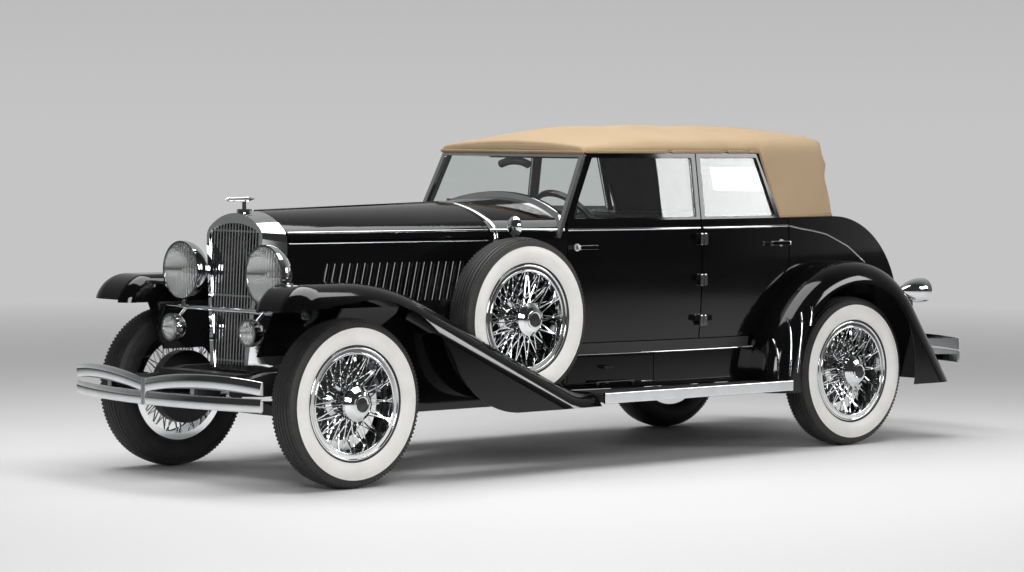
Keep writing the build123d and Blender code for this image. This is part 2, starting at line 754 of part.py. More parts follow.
def door(front):
    """A left-hand door with its hinge barrels and handle."""
    outline = side_prism(door_outline(front), 0, HALF_WIDTH_POST + 100)
    opening = side_prism(window_outline(front, 0), 0, HALF_WIDTH_POST + 100, rounding=12)
    direction = 1 if front else -1
    hinge_x = POST_X + direction * HINGE_OFFSET
    handle_x = DOOR_FRONT_X - 75 if front else DOOR_REAR_X + 75
    handle_y = plan_y(handle_x)
    with BuildPart() as panel:
        add(panel_band)
        add(frame_band)
        add(outline, mode=Mode.INTERSECT)
        add(opening, mode=Mode.SUBTRACT)
        if not front:
            add(arc_cut, mode=Mode.SUBTRACT)
        # Hinge barrels outside the skin, each on a leaf that runs along the door
        for z in HINGE_HEIGHTS:
            with BuildSketch(Plane.XY.offset(z)):
                with Locations((hinge_x, HINGE_Y)):
                    Circle(HINGE_RADIUS)
                with Locations((hinge_x + direction * 25, HINGE_Y - 12)):
                    Rectangle(50, 32)
            extrude(amount=HINGE_LENGTH / 2)
        # Handle: a lever on two posts
        with BuildSketch(Plane.XZ.offset(-handle_y - 46)):
            with Locations((handle_x - direction * 40, HANDLE_Z)):
                SlotOverall(140, 20)
        extrude(amount=14)
        with BuildSketch(Plane.XZ.offset(-handle_y - 40)):
            with Locations((handle_x, HANDLE_Z)):
                Circle(9)
        extrude(amount=55)
    return panel.part


def door_glass(front):
    """A left-hand door's glass, seated in its frame."""
    with BuildPart() as pane:
        add(glass_band)
        add(side_prism(window_outline(front, SEAT_GAP), 0, HALF_WIDTH_POST + 100, rounding=12), mode=Mode.INTERSECT)
    return pane.part


arc_cut = cross_cylinder(AXLE_R, AXLE_Z, DOOR_ARC_RADIUS, 0, HALF_WIDTH_POST + 100)
for place, is_front in (("front", True), ("rear", False)):
    panel, pane = door(is_front), door_glass(is_front)
    finish(panel, f"door_{place}_left")
    finish(pane, f"door_glass_{place}_left")
    finish(panel.mirror(Plane.XZ), f"door_{place}_right")
    finish(pane.mirror(Plane.XZ), f"door_glass_{place}_right")

# Cowl with its firewall, dashboard, and hood
COWL_REAR_X = DOOR_FRONT_X - 52
cowl_outer = arched_block("rear", "door", COWL_X, COWL_REAR_X, SILL_Z)
cowl_inner = arched_block("rear", "door", COWL_X - COWL_WALL, COWL_REAR_X - 1, SILL_Z - 1, COWL_WALL)
DASH_HALF = plan_y(DOOR_FRONT_X) - DOOR_WALL - 2 * MOVE_GAP
with BuildPart() as cowl:
    add(cowl_outer)
    add(cowl_inner, mode=Mode.SUBTRACT)
    with BuildSketch(Plane.XY.offset(SILL_Z - 1)):
        for side in (1, -1):
            with Locations((DOOR_FRONT_X - 60, side * (DASH_HALF + 200))):
                Rectangle(120, 400)
    extrude(amount=LENGTH, mode=Mode.SUBTRACT)
finish(cowl.part, "cowl")

DASH_FOOT_Z = 1080
DASH_DEPTH = 30
dash_block = arched_block(
    "rear", "door", DOOR_FRONT_X + DASH_DEPTH, DOOR_FRONT_X, DASH_FOOT_Z, COWL_WALL + SEAT_GAP
)
hood_outer = arched_block("front", "rear", HOOD_FRONT_X - MOVE_GAP, COWL_X + MOVE_GAP, HOOD_SPLIT_Z - 200)
hood_inner = arched_block(
    "front", "rear", HOOD_FRONT_X - MOVE_GAP + 1, COWL_X + MOVE_GAP - 1, HOOD_SPLIT_Z - 201, HOOD_SHEET
)
with BuildPart() as hood_leaf:
    add(hood_outer)
    add(hood_inner, mode=Mode.SUBTRACT)
    with BuildSketch(plane_x(COWL_X)):
        with BuildLine():
            Polyline(
                (LEAF_GAP, HOOD_SPLIT_Z),
                (HALF_WIDTH_POST, HOOD_SPLIT_Z),
                (HALF_WIDTH_POST, EAVES_Z),
                (LEAF_GAP, EAVES_Z),
                close=True,
            )
        make_face()
    extrude(amount=HOOD_LENGTH, mode=Mode.INTERSECT)
finish(hood_leaf.part, "hood_leaf_left")
finish(hood_leaf.part.mirror(Plane.XZ), "hood_leaf_right")

# Fixed hood sides, louvred, with the hinge rod between the two leaves
SIDE_TOP_Z = HOOD_SPLIT_Z - MOVE_GAP
LOUVRE_LENGTH = 200
LOUVRE_WIDTH = 24
LOUVRE_RISE = 7
LOUVRE_LEAN = 12
LOUVRE_Z = 985
LOUVRE_FRONT_SETBACK = 230
LOUVRE_REAR_LEAD = 190
side_start = Vector(HOOD_FRONT_X - SEAT_GAP, HOOD_FRONT_HALF, 0)
side_end = Vector(COWL_X + SEAT_GAP, HOOD_REAR_HALF, 0)
side_run = (side_end - side_start).normalized()
side_normal = Vector(-side_run.Y, side_run.X, 0) * -1
louvre_axis = (Vector(0, 0, cos(radians(LOUVRE_LEAN))) + side_run * sin(radians(LOUVRE_LEAN))).normalized()
louvre_across = side_normal.cross(louvre_axis)
with BuildPart() as hood_side:
    with BuildSketch(Plane.XY.offset(HOOD_FOOT_Z)):
        with BuildLine():
            inward = Vector(0, -HOOD_SHEET, 0)
            Polyline(side_start, side_end, side_end + inward, side_start + inward, close=True)
        make_face()
    extrude(amount=SIDE_TOP_Z - HOOD_FOOT_Z)
    span = (side_end - side_start).length - LOUVRE_FRONT_SETBACK - LOUVRE_REAR_LEAD
    for number in range(LOUVRES):
        along = LOUVRE_FRONT_SETBACK + span * number / (LOUVRES - 1)
        middle = side_start + side_run * along + Vector(0, 0, LOUVRE_Z)
        with BuildSketch(Plane(origin=middle, x_dir=louvre_across, z_dir=louvre_axis)):
            with BuildLine():
                Polyline((0, -1), (LOUVRE_WIDTH, -1), (LOUVRE_WIDTH, 1), (0, LOUVRE_RISE), close=True)
            make_face()
        extrude(amount=LOUVRE_LENGTH / 2, both=True)
rod_start = Vector(HOOD_FRONT_X - SEAT_GAP, 0, HOOD_FRONT_TOP)
rod_end = Vector(COWL_X + SEAT_GAP, 0, HOOD_REAR_TOP)
with BuildPart() as hood_sides:
    add(hood_side.part)
    mirror(about=Plane.XZ)
    with BuildSketch(Plane(origin=rod_start, z_dir=rod_end - rod_start)):
        Circle(HINGE_ROD_RADIUS)
    extrude(amount=(rod_end - rod_start).length)
finish(hood_sides.part, "hood_sides")

# Windshield on its raked plane, standing on the cowl
RAKE = radians(WINDSHIELD_RAKE)
windshield_plane = Plane(
    origin=(WINDSHIELD_X, 0, WINDSHIELD_FOOT_Z), x_dir=(0, 1, 0), z_dir=(cos(RAKE), 0, sin(RAKE))
)
WINDSHIELD_HEIGHT = (EAVES_Z - SEAT_GAP - WINDSHIELD_FOOT_Z) / cos(RAKE) - 12
WINDSHIELD_FOOT_HALF = 596
WINDSHIELD_TOP_HALF = 566
WINDSHIELD_SINK = 60


def windshield_slab(thickness, inset):
    """Slab of the windshield's outline, reduced at the sides and top by an inset."""
    with BuildPart() as slab:
        with BuildSketch(windshield_plane):
            with BuildLine():
                Polyline(
                    (-WINDSHIELD_FOOT_HALF + inset, -WINDSHIELD_SINK),
                    (WINDSHIELD_FOOT_HALF - inset, -WINDSHIELD_SINK),
                    (WINDSHIELD_TOP_HALF - inset, WINDSHIELD_HEIGHT - inset),
                    (-WINDSHIELD_TOP_HALF + inset, WINDSHIELD_HEIGHT - inset),
                    close=True,
                )
            make_face()
        extrude(amount=thickness / 2, both=True)
    return slab.part


cowl_seat = arched_block("rear", "door", COWL_X, COWL_REAR_X - 60, SILL_Z, -SEAT_GAP)
cowl_rail = Pos(0, 0, WINDSHIELD_BAR) * cowl_seat
glass_rail = Pos(0, 0, WINDSHIELD_BAR + SEAT_GAP) * cowl_seat
opening_slab = windshield_slab(2 * WINDSHIELD_BAR, WINDSHIELD_BAR)
pane_slab = windshield_slab(GLASS, WINDSHIELD_BAR + SEAT_GAP)
with BuildPart() as windshield_opening:
    add(opening_slab)
    add(cowl_rail, mode=Mode.SUBTRACT)
with BuildPart() as windshield_frame:
    add(windshield_slab(22, 0))
    add(cowl_seat, mode=Mode.SUBTRACT)
    add(windshield_opening.part, mode=Mode.SUBTRACT)
finish(windshield_frame.part, "windshield_frame")

# Soft top: a hollow arched shell with closed quarters and a back curtain that stands on the deck
TOP_CLOTH = 14
TOP_FOOT_Z = BELT_Z + SEAT_GAP
TOP_FRONT_X = WINDSHIELD_X - (EAVES_Z - WINDSHIELD_FOOT_Z) * tan(RAKE) + 20
TOP_REAR_X = AXLE_R - 5
TOP_REAR_LEAN = 60
TOP_REAR_SWEEP = 170
# Sections of the soft top: x, half-width at the eaves, top height, corner radius
TOP_SECTIONS = (
    (TOP_FRONT_X, WINDSHIELD_TOP_HALF + 4, EAVES_Z + 52, 30),
    (DOOR_FRONT_X - 480, 615, EAVES_Z + 122, 70),
    (POST_X - 60, 645, EAVES_Z + 142, 84),
    (DOOR_REAR_X - 40, 632, EAVES_Z + 138, 84),
    (TOP_REAR_X - 1, 585, EAVES_Z + 100, 84),
)
TOP_SPRING_Z = EAVES_Z - 5


def top_block(inset):
    """Solid of the raised top down to the belt, or the space under the cloth."""
    with BuildPart() as block:
        for x, half, top, corner in TOP_SECTIONS:
            with BuildSketch(plane_x(x)):
                low_half = plan_y(min(x, DOOR_FRONT_X), BELT_TUCK + 12)
                arch_face(low_half - inset, TOP_FOOT_Z - inset, half - inset, TOP_SPRING_Z, top - inset, corner)
        loft()
    return block.part


def top_side(inset):
    """Side view of the raised top, with its rear corner swept down into the back curtain."""
    with BuildPart() as prism:
        with BuildSketch(plane_y(HALF_WIDTH_POST + 100)):
            with BuildLine():
                FilletPolyline(
                    (TOP_FRONT_X + 1, EAVES_Z + 200 - inset),
                    (POST_X, EAVES_Z + 200 - inset),
                    (TOP_REAR_X + TOP_REAR_LEAN + inset, EAVES_Z + 124 - inset),
                    (TOP_REAR_X + inset, TOP_FOOT_Z - inset),
                    radius=[TOP_REAR_SWEEP * 4, TOP_REAR_SWEEP],
                )
                Polyline(
                    (TOP_REAR_X + inset, TOP_FOOT_Z - inset),
                    (TOP_FRONT_X + 1, TOP_FOOT_Z - inset),
                    (TOP_FRONT_X + 1, EAVES_Z + 200 - inset),
                )
            make_face()
        extrude(amount=2 * HALF_WIDTH_POST + 200)
    return prism.part


BACK_WINDOW_Z = 1485
BACK_WINDOW_HALF = 330
BACK_WINDOW_HEIGHT = 130
window_space = side_prism(
    [
        (TOP_FRONT_X + 100, TOP_FOOT_Z - 50),
        (TOP_FRONT_X + 100, EAVES_Z),
        (rear_pillar(EAVES_Z, -MOVE_GAP), EAVES_Z),
        (rear_pillar(BELT_Z, -MOVE_GAP), BELT_Z),
        (DOOR_REAR_X - HALF_GAP, BELT_Z),
        (DOOR_REAR_X - HALF_GAP, TOP_FOOT_Z - 50),
    ],
    -HALF_WIDTH_POST - 100,
    HALF_WIDTH_POST + 100,
)


def back_window(inset, depth):
    """Prism of the back window's rounded outline through the back curtain."""
    with BuildPart() as prism:
        with BuildSketch(plane_x(TOP_REAR_X - depth)):
            with Locations((0, BACK_WINDOW_Z)):
                RectangleRounded(2 * (BACK_WINDOW_HALF - inset), BACK_WINDOW_HEIGHT - 2 * inset, 40)
        extrude(amount=3 * TOP_REAR_LEAN + depth)
    return prism.part


with BuildPart() as top_outer:
    add(top_block(0))
    add(top_side(0), mode=Mode.INTERSECT)
with BuildPart() as top_inner:
    add(top_block(TOP_CLOTH))
    add(top_side(TOP_CLOTH), mode=Mode.INTERSECT)
with BuildPart() as soft_top:
    add(top_outer.part)
    add(top_inner.part, mode=Mode.SUBTRACT)
    add(window_space, mode=Mode.SUBTRACT)
    add(back_window(0, 100), mode=Mode.SUBTRACT)
finish(soft_top.part, "soft_top")

# Fixed glass: windshield pane and back window
with BuildPart() as windshield_pane:
    add(pane_slab)
    add(glass_rail, mode=Mode.SUBTRACT)
with BuildPart() as back_pane:
    add(top_side(TOP_CLOTH / 3))
    add(top_side(TOP_CLOTH * 2 / 3), mode=Mode.SUBTRACT)
    add(back_window(SEAT_GAP, 100), mode=Mode.INTERSECT)
with BuildPart() as fixed_glass:
    add(windshield_pane.part)
    add(back_pane.part)
finish(fixed_glass.part, "fixed_glass")

# Floor with its sills, and the centre posts that carry all four doors
FLOOR_FRONT_X = COWL_X - COWL_WALL - SEAT_GAP
FLOOR_REAR_X = AXLE_R + DOOR_ARC_RADIUS
floor_slab = body_block(DOOR_WALL - SILL_TUCK, SILL_Z, SILL_Z + FLOOR)
with BuildPart() as floor_pan:
    add(floor_slab)
    with BuildSketch(Plane.XY.offset(SILL_Z)):
        with Locations(((DOOR_FRONT_X + FLOOR_REAR_X) / 2 - SEAT_GAP, 0)):
            Rectangle(DOOR_FRONT_X - FLOOR_REAR_X - 2 * SEAT_GAP, 2 * HALF_WIDTH_POST)
    extrude(amount=FLOOR, mode=Mode.INTERSECT)
    with BuildSketch(Plane.XY.offset(SILL_Z)):
        with Locations(((DOOR_FRONT_X + FLOOR_FRONT_X) / 2 - 1, 0)):
            Rectangle(FLOOR_FRONT_X - DOOR_FRONT_X + 2, 2 * (HOOD_REAR_HALF - COWL_WALL - MOVE_GAP))
    extrude(amount=FLOOR)
sill_band = skin_band(DOOR_WALL + 20, SILL_Z, DOOR_Z - MOVE_GAP)
sill_keep = side_prism(
    [
        (FLOOR_REAR_X + SEAT_GAP, SILL_Z - 1),
        (DOOR_FRONT_X - SEAT_GAP, SILL_Z - 1),
        (DOOR_FRONT_X - SEAT_GAP, DOOR_Z),
        (FLOOR_REAR_X + SEAT_GAP, DOOR_Z),
    ],
    0,
    HALF_WIDTH_POST + 100,
)
with BuildPart() as sill:
    add(sill_band)
    add(sill_keep, mode=Mode.INTERSECT)
with BuildPart() as floor_whole:
    add(floor_pan.part)
    add(both_sides(sill.part))
    add(cross_cylinder(AXLE_R, AXLE_Z, DOOR_ARC_RADIUS, -HALF_WIDTH_POST, HALF_WIDTH_POST), mode=Mode.SUBTRACT)
finish(floor_whole.part, "floor_pan")

POST_WIDTH = 62
POST_DEPTH = 48
POST_FACE_Y = plan_y(POST_X, DOOR_WALL + MOVE_GAP + 3)
POST_FOOT_Z = DOOR_Z - MOVE_GAP + SEAT_GAP
LUG_THICK = 4
with BuildPart() as door_post:
    with BuildSketch(Plane.XY.offset(POST_FOOT_Z)):
        with Locations((POST_X, POST_FACE_Y - POST_DEPTH / 2)):
            Rectangle(POST_WIDTH, POST_DEPTH)
    extrude(amount=BELT_Z - POST_FOOT_Z)
    # Hinge lugs pass out between the doors to the barrels
    for z in HINGE_HEIGHTS:
        with BuildSketch(Plane.XY.offset(z - HINGE_LENGTH / 2)):
            with Locations((POST_X, (POST_FACE_Y + HINGE_Y) / 2)):
                Rectangle(LUG_THICK, HINGE_Y - POST_FACE_Y + 8)
            with Locations((POST_X, HINGE_Y)):
                Rectangle(2 * HINGE_OFFSET, 8)
            with Locations((POST_X - HINGE_OFFSET, HINGE_Y), (POST_X + HINGE_OFFSET, HINGE_Y)):
                Circle(HINGE_RADIUS)
        extrude(amount=HINGE_LENGTH / 2 - PIN_GAP)
finish(both_sides(door_post.part), "door_posts")

# Seats: simple closed cushions with raked backs
SEAT_HALF = 500
REAR_SEAT_HALF = 560
SEAT_ROUND = 40


def bench(front_x, back_x, half, foot_z, cushion_z, top_z, lean, back_thick):
    """Bench seat: cushion and raked back in side view, rounded."""
    outline = [
        (front_x, foot_z),
        (back_x - back_thick, foot_z),
        (back_x - back_thick - lean, top_z),
        (back_x - lean, top_z),
        (back_x, cushion_z),
        (front_x, cushion_z + 20),
    ]
    with BuildPart() as seat:
        with BuildSketch(plane_y(half)) as side:
            with BuildLine():
                Polyline(*outline, close=True)
            make_face()
            fillet(side.vertices().group_by(Axis.Y)[-1], SEAT_ROUND)
        extrude(amount=2 * half)
    return seat.part


SEAT_FOOT_Z = SILL_Z + FLOOR + SEAT_GAP
with BuildPart() as seats:
    add(bench(POST_X + 470, POST_X + 20, SEAT_HALF, SEAT_FOOT_Z, 890, 1310, 70, 110))
    add(bench(AXLE_R + 650, AXLE_R + 230, REAR_SEAT_HALF - 60, SEAT_FOOT_Z, 930, 1290, 90, 120))
finish(seats.part, "seats")

# Steering column and wheel
COLUMN_ANGLE = radians(35)
COLUMN_RADIUS = 24
STEERING_Y = 330
STEERING_X = DOOR_FRONT_X - 260
STEERING_Z = 1243
STEERING_RADIUS = 228
STEERING_RIM = 13
STEERING_HUB = 40
STEERING_PLANE = Plane(
    origin=(STEERING_X, STEERING_Y, STEERING_Z),
    x_dir=(0, 1, 0),
    z_dir=(-cos(COLUMN_ANGLE), 0, sin(COLUMN_ANGLE)),
)
with BuildPart() as steering_wheel:
    with BuildSketch(STEERING_PLANE):
        Circle(STEERING_RADIUS + STEERING_RIM)
        Circle(STEERING_RADIUS - STEERING_RIM, mode=Mode.SUBTRACT)
        Circle(STEERING_HUB)
        with PolarLocations(STEERING_RADIUS / 2, 4, 45):
            Rectangle(STEERING_RADIUS, 18)
    extrude(amount=STEERING_RIM, both=True)
finish(steering_wheel.part, "steering_wheel")
COLUMN_LENGTH = (COWL_X - COWL_WALL - STEERING_X) / cos(COLUMN_ANGLE) - STEERING_RIM - COLUMN_RADIUS
column_top = STEERING_PLANE.offset(-STEERING_RIM - PIN_GAP)
with BuildPart() as steering_column:
    with BuildSketch(column_top):
        Circle(COLUMN_RADIUS)
    extrude(amount=-COLUMN_LENGTH)
    add(dash_block)
finish(steering_column.part, "dashboard")

# Chassis frame
RAIL_IN = RAIL_OUT - RAIL_WIDTH
RAIL_FRONT_X = AXLE_F + 440
RAIL_REAR_X = AXLE_R - 700
REAR_RAIL_Z = 500
rail_outline = [
    (RAIL_FRONT_X, RAIL_FOOT_Z + 10),
    (RAIL_FRONT_X, RAIL_FOOT_Z + 70),
    (AXLE_F + 200, RAIL_TOP_Z),
    (RAIL_REAR_X, RAIL_TOP_Z),
    (RAIL_REAR_X, REAR_RAIL_Z),
    (AXLE_R + 500, REAR_RAIL_Z),
    (AXLE_R + 700, RAIL_FOOT_Z),
    (AXLE_F + 260, RAIL_FOOT_Z),
]
CROSS_MEMBERS = (AXLE_F + 330, AXLE_F - 180, AXLE_F - 960, POST_X + 100, AXLE_R + 780, AXLE_R - 520)
CROSS_WIDTH = 90
CROSS_HEIGHT = 50
with BuildPart() as chassis_frame:
    add(side_prism(rail_outline, RAIL_IN, RAIL_OUT))
    mirror(about=Plane.XZ)
    for x in CROSS_MEMBERS:
        with BuildSketch(plane_x(x)):
            with Locations((0, RAIL_TOP_Z - 30)):
                Rectangle(2 * RAIL_IN + 2, CROSS_HEIGHT)
        extrude(amount=CROSS_WIDTH / 2, both=True)
    # Body outriggers carry the floor off the rails
    for x in (AXLE_F - 1240, POST_X + 60, AXLE_R + 780):
        with BuildSketch(Plane.XY.offset(RAIL_TOP_Z - 1)):
            with Locations((x, 0)):
                Rectangle(70, 2 * RAIL_OUT + 300 if x < DOOR_FRONT_X else 2 * RAIL_OUT)
        extrude(amount=SILL_Z - SEAT_GAP - RAIL_TOP_Z + 1)
finish(chassis_frame.part, "chassis_frame")

ENGINE_FOOT_Z = RAIL_TOP_Z - 30 + CROSS_HEIGHT / 2 + SEAT_GAP
with BuildPart() as engine_block:
    with BuildSketch(Plane.XY.offset(ENGINE_FOOT_Z)):
        with Locations((AXLE_F - 560, 0)):
            Rectangle(960, 300)
    extrude(amount=260)
    with BuildSketch(Plane.XY.offset(ENGINE_FOOT_Z + 260)):
        with Locations((AXLE_F - 560, 0)):
            Rectangle(900, 190)
    extrude(amount=290)
finish(engine_block.part, "engine_block")

# Front axle: dropped beam with kingpin eyes, and the knuckles that turn on them
KINGPIN_Y = WHEEL_Y - 185
KINGPIN_RADIUS = 14
EYE_RADIUS = 32
EYE_HALF = 34
EAR = 32
BEAM_Z = 350
BEAM_WIDTH = 56
BEAM_HEIGHT = 62
BEAM_FLAT = EYE_RADIUS + 12
ARM_LENGTH = 170
ARM_Y = KINGPIN_Y
ARM_Z = AXLE_Z - EYE_HALF - EAR - PIN_GAP
BALL_RADIUS = 9
with BuildPart() as front_axle:
    with BuildSketch(plane_x(AXLE_F - BEAM_WIDTH / 2)):
        with BuildLine():
            Polyline(
                (-KINGPIN_Y, AXLE_Z + 26),
                (-KINGPIN_Y, AXLE_Z - 26),
                (-KINGPIN_Y + BEAM_FLAT, AXLE_Z - 26),
                (-RAIL_OUT - 10, BEAM_Z - BEAM_HEIGHT / 2),
                (RAIL_OUT + 10, BEAM_Z - BEAM_HEIGHT / 2),
                (KINGPIN_Y - BEAM_FLAT, AXLE_Z - 26),
                (KINGPIN_Y, AXLE_Z - 26),
                (KINGPIN_Y, AXLE_Z + 26),
                (RAIL_OUT + 10, BEAM_Z + BEAM_HEIGHT / 2),
                (-RAIL_OUT - 10, BEAM_Z + BEAM_HEIGHT / 2),
                close=True,
            )
        make_face()
    extrude(amount=BEAM_WIDTH)
    with BuildSketch(Plane.XY.offset(AXLE_Z - EYE_HALF)):
        with Locations((AXLE_F, KINGPIN_Y), (AXLE_F, -KINGPIN_Y)):
            Circle(EYE_RADIUS)
    extrude(amount=2 * EYE_HALF)
    with BuildSketch(Plane.XY.offset(AXLE_Z - EYE_HALF)):
        with Locations((AXLE_F, KINGPIN_Y), (AXLE_F, -KINGPIN_Y)):
            Circle(KINGPIN_RADIUS + PIN_GAP)
    extrude(amount=2 * EYE_HALF, mode=Mode.SUBTRACT)
finish(front_axle.part, "front_axle")

SPINDLE_END = WHEEL_Y + CAP_BASE - 12
KNUCKLE_FACE_Y = KINGPIN_Y + EYE_RADIUS + MOVE_GAP
with BuildPart() as knuckle:
    for ear_z in (AXLE_Z - EYE_HALF - EAR - PIN_GAP, AXLE_Z + EYE_HALF + PIN_GAP):
        with BuildSketch(Plane.XY.offset(ear_z)):
            with Locations((AXLE_F, KINGPIN_Y)):
                Circle(EYE_RADIUS - 2)
            with Locations((AXLE_F, (KINGPIN_Y + KNUCKLE_FACE_Y + 10) / 2)):
                Rectangle(2 * EYE_RADIUS - 12, KNUCKLE_FACE_Y + 10 - KINGPIN_Y)
        extrude(amount=EAR)
    with BuildSketch(Plane.XY.offset(AXLE_Z - EYE_HALF - EAR - PIN_GAP)):
        with Locations((AXLE_F, KINGPIN_Y)):
            Circle(KINGPIN_RADIUS)
    extrude(amount=2 * (EYE_HALF + EAR + PIN_GAP))
    with BuildSketch(plane_y(KNUCKLE_FACE_Y + 12)):
        with Locations((AXLE_F, AXLE_Z)):
            Rectangle(2 * EYE_RADIUS - 12, 2 * (EYE_HALF + EAR + PIN_GAP))
    extrude(amount=12)
    with BuildSketch(plane_y(SPINDLE_END)):
        with Locations((AXLE_F, AXLE_Z)):
            Circle(SPINDLE_RADIUS)
    extrude(amount=SPINDLE_END - KNUCKLE_FACE_Y)
    # Steering arm, running back to the tie rod's ball pin
    with BuildSketch(Plane.XY.offset(ARM_Z)):
        with BuildLine():
            Polyline(
                (AXLE_F - 20, KINGPIN_Y - 20),
                (AXLE_F - 20, KINGPIN_Y + 20),
                (AXLE_F - ARM_LENGTH, ARM_Y + 18),
                (AXLE_F - ARM_LENGTH - 18, ARM_Y),
                (AXLE_F - ARM_LENGTH, ARM_Y - 18),
                close=True,
            )
        make_face()
    extrude(amount=20)
    with BuildSketch(Plane.XY.offset(ARM_Z - 34)):
        with Locations((AXLE_F - ARM_LENGTH, ARM_Y)):
            Circle(BALL_RADIUS)
    extrude(amount=35)
finish(knuckle.part, "knuckle_left")
finish(knuckle.part.mirror(Plane.XZ), "knuckle_right")

ROD_HEIGHT = 26
ROD_Z = ARM_Z - PIN_GAP - ROD_HEIGHT
with BuildPart() as tie_rod:
    with BuildSketch(Plane.XY.offset(ROD_Z)):
        with Locations((AXLE_F - ARM_LENGTH, 0)):
            Rectangle(24, 2 * ARM_Y)
        with Locations((AXLE_F - ARM_LENGTH, ARM_Y), (AXLE_F - ARM_LENGTH, -ARM_Y)):
            Circle(20)
            Circle(BALL_RADIUS + PIN_GAP, mode=Mode.SUBTRACT)
    extrude(amount=ROD_HEIGHT)
finish(tie_rod.part, "tie_rod")

# Rear axle: tubes, round-backed differential housing, torque tube and shaft ends
TUBE_RADIUS = 46
DIFF_HALF = 120
REAR_SHAFT_END = SPINDLE_END
REAR_TUBE_END = WHEEL_Y - HUB_LENGTH / 2 - DRUM_WIDTH + 8 - MOVE_GAP
with BuildPart() as rear_axle:
    add(cross_cylinder(AXLE_R, AXLE_Z, TUBE_RADIUS, -REAR_TUBE_END, REAR_TUBE_END))
    add(cross_cylinder(AXLE_R, AXLE_Z, SPINDLE_RADIUS, -REAR_SHAFT_END, REAR_SHAFT_END))
    with BuildSketch(plane_x(AXLE_R)):
        with BuildLine():
            ThreePointArc((-DIFF_HALF, -DIFF_RADIUS + AXLE_Z + 60), (0, AXLE_Z - DIFF_RADIUS), (DIFF_HALF, -DIFF_RADIUS + AXLE_Z + 60))
            Line((DIFF_HALF, -DIFF_RADIUS + AXLE_Z + 60), (DIFF_HALF, AXLE_Z))
            Line((DIFF_HALF, AXLE_Z), (-DIFF_HALF, AXLE_Z))
            Line((-DIFF_HALF, AXLE_Z), (-DIFF_HALF, -DIFF_RADIUS + AXLE_Z + 60))
        make_face()
    revolve(axis=Axis((AXLE_R, 0, AXLE_Z), (0, 1, 0)))
    with BuildSketch(plane_x(AXLE_R)):
        with Locations((0, AXLE_Z)):
            Circle(44)
    extrude(amount=WHEELBASE - 1560)
finish(rear_axle.part, "rear_axle")

# Leaf springs: stacked arched leaves between the axle and the frame
LEAF_THICK = 6
LEAF_WIDTH = 52
LEAVES = 4
SPRING_Y = RAIL_OUT - RAIL_WIDTH / 2
# Springs: axle x, height of the lowest leaf, underside of the rail, half-length of the longest leaf
SPRINGS = (
    (AXLE_F, BEAM_Z + BEAM_HEIGHT / 2 + SEAT_GAP, RAIL_FOOT_Z, 430),
    (AXLE_R, AXLE_Z + TUBE_RADIUS + SEAT_GAP, REAR_RAIL_Z, 490),
)
with BuildPart() as leaf_springs:
    for spring_x, spring_z, rail_z, reach in SPRINGS:
        full_rise = rail_z - SEAT_GAP - spring_z - LEAVES * LEAF_THICK - 1
        with BuildSketch(plane_y(SPRING_Y + LEAF_WIDTH / 2)):
            for number in range(LEAVES):
                half = reach * (number + 1) / LEAVES
                low = spring_z + LEAF_THICK * number
                rise = full_rise * (half / reach) ** 2
                with BuildLine() as leaf:
                    ThreePointArc((spring_x - half, low + rise), (spring_x, low), (spring_x + half, low + rise))
                    Line((spring_x + half, low + rise), (spring_x + half, low + rise + LEAF_THICK + 1))
                    ThreePointArc(
                        (spring_x + half, low + rise + LEAF_THICK + 1),
                        (spring_x, low + LEAF_THICK + 1),
                        (spring_x - half, low + rise + LEAF_THICK + 1),
                    )
                    Line((spring_x - half, low + rise + LEAF_THICK + 1), (spring_x - half, low + rise))
                make_face(leaf.edges())
        extrude(amount=LEAF_WIDTH)
    mirror(about=Plane.XZ)
finish(leaf_springs.part, "leaf_springs")

# Exhaust: pipe and silencer on the right, hung from the cross members
EXHAUST_Y = -190
EXHAUST_RADIUS = 32
EXHAUST_Z = RAIL_TOP_Z - 30 - CROSS_HEIGHT / 2 - SEAT_GAP - EXHAUST_RADIUS
SILENCER_RADIUS = 80
PIPE_DROP = 10
with BuildPart() as exhaust:
    with BuildSketch(plane_x(AXLE_R + 820)):
        with Locations((EXHAUST_Y, EXHAUST_Z - PIPE_DROP)):
            Circle(EXHAUST_RADIUS)
    extrude(amount=1500)
    with BuildSketch(plane_x(AXLE_R + 950)):
        with Locations((EXHAUST_Y, EXHAUST_Z + EXHAUST_RADIUS - SILENCER_RADIUS)):
            Circle(SILENCER_RADIUS)
    extrude(amount=620)
finish(exhaust.part, "exhaust")

TANK_TOP_Z = RAIL_TOP_Z - 30 - CROSS_HEIGHT / 2 - SEAT_GAP
with BuildPart() as fuel_tank:
    with BuildSketch(Plane.XY.offset(TANK_TOP_Z)):
        with Locations((AXLE_R - 520, 0)):
            Rectangle(300, 2 * RAIL_IN - 40)
    extrude(amount=-170)
    fillet(fuel_tank.edges().filter_by(Axis.Y), 40)
finish(fuel_tank.part, "fuel_tank")

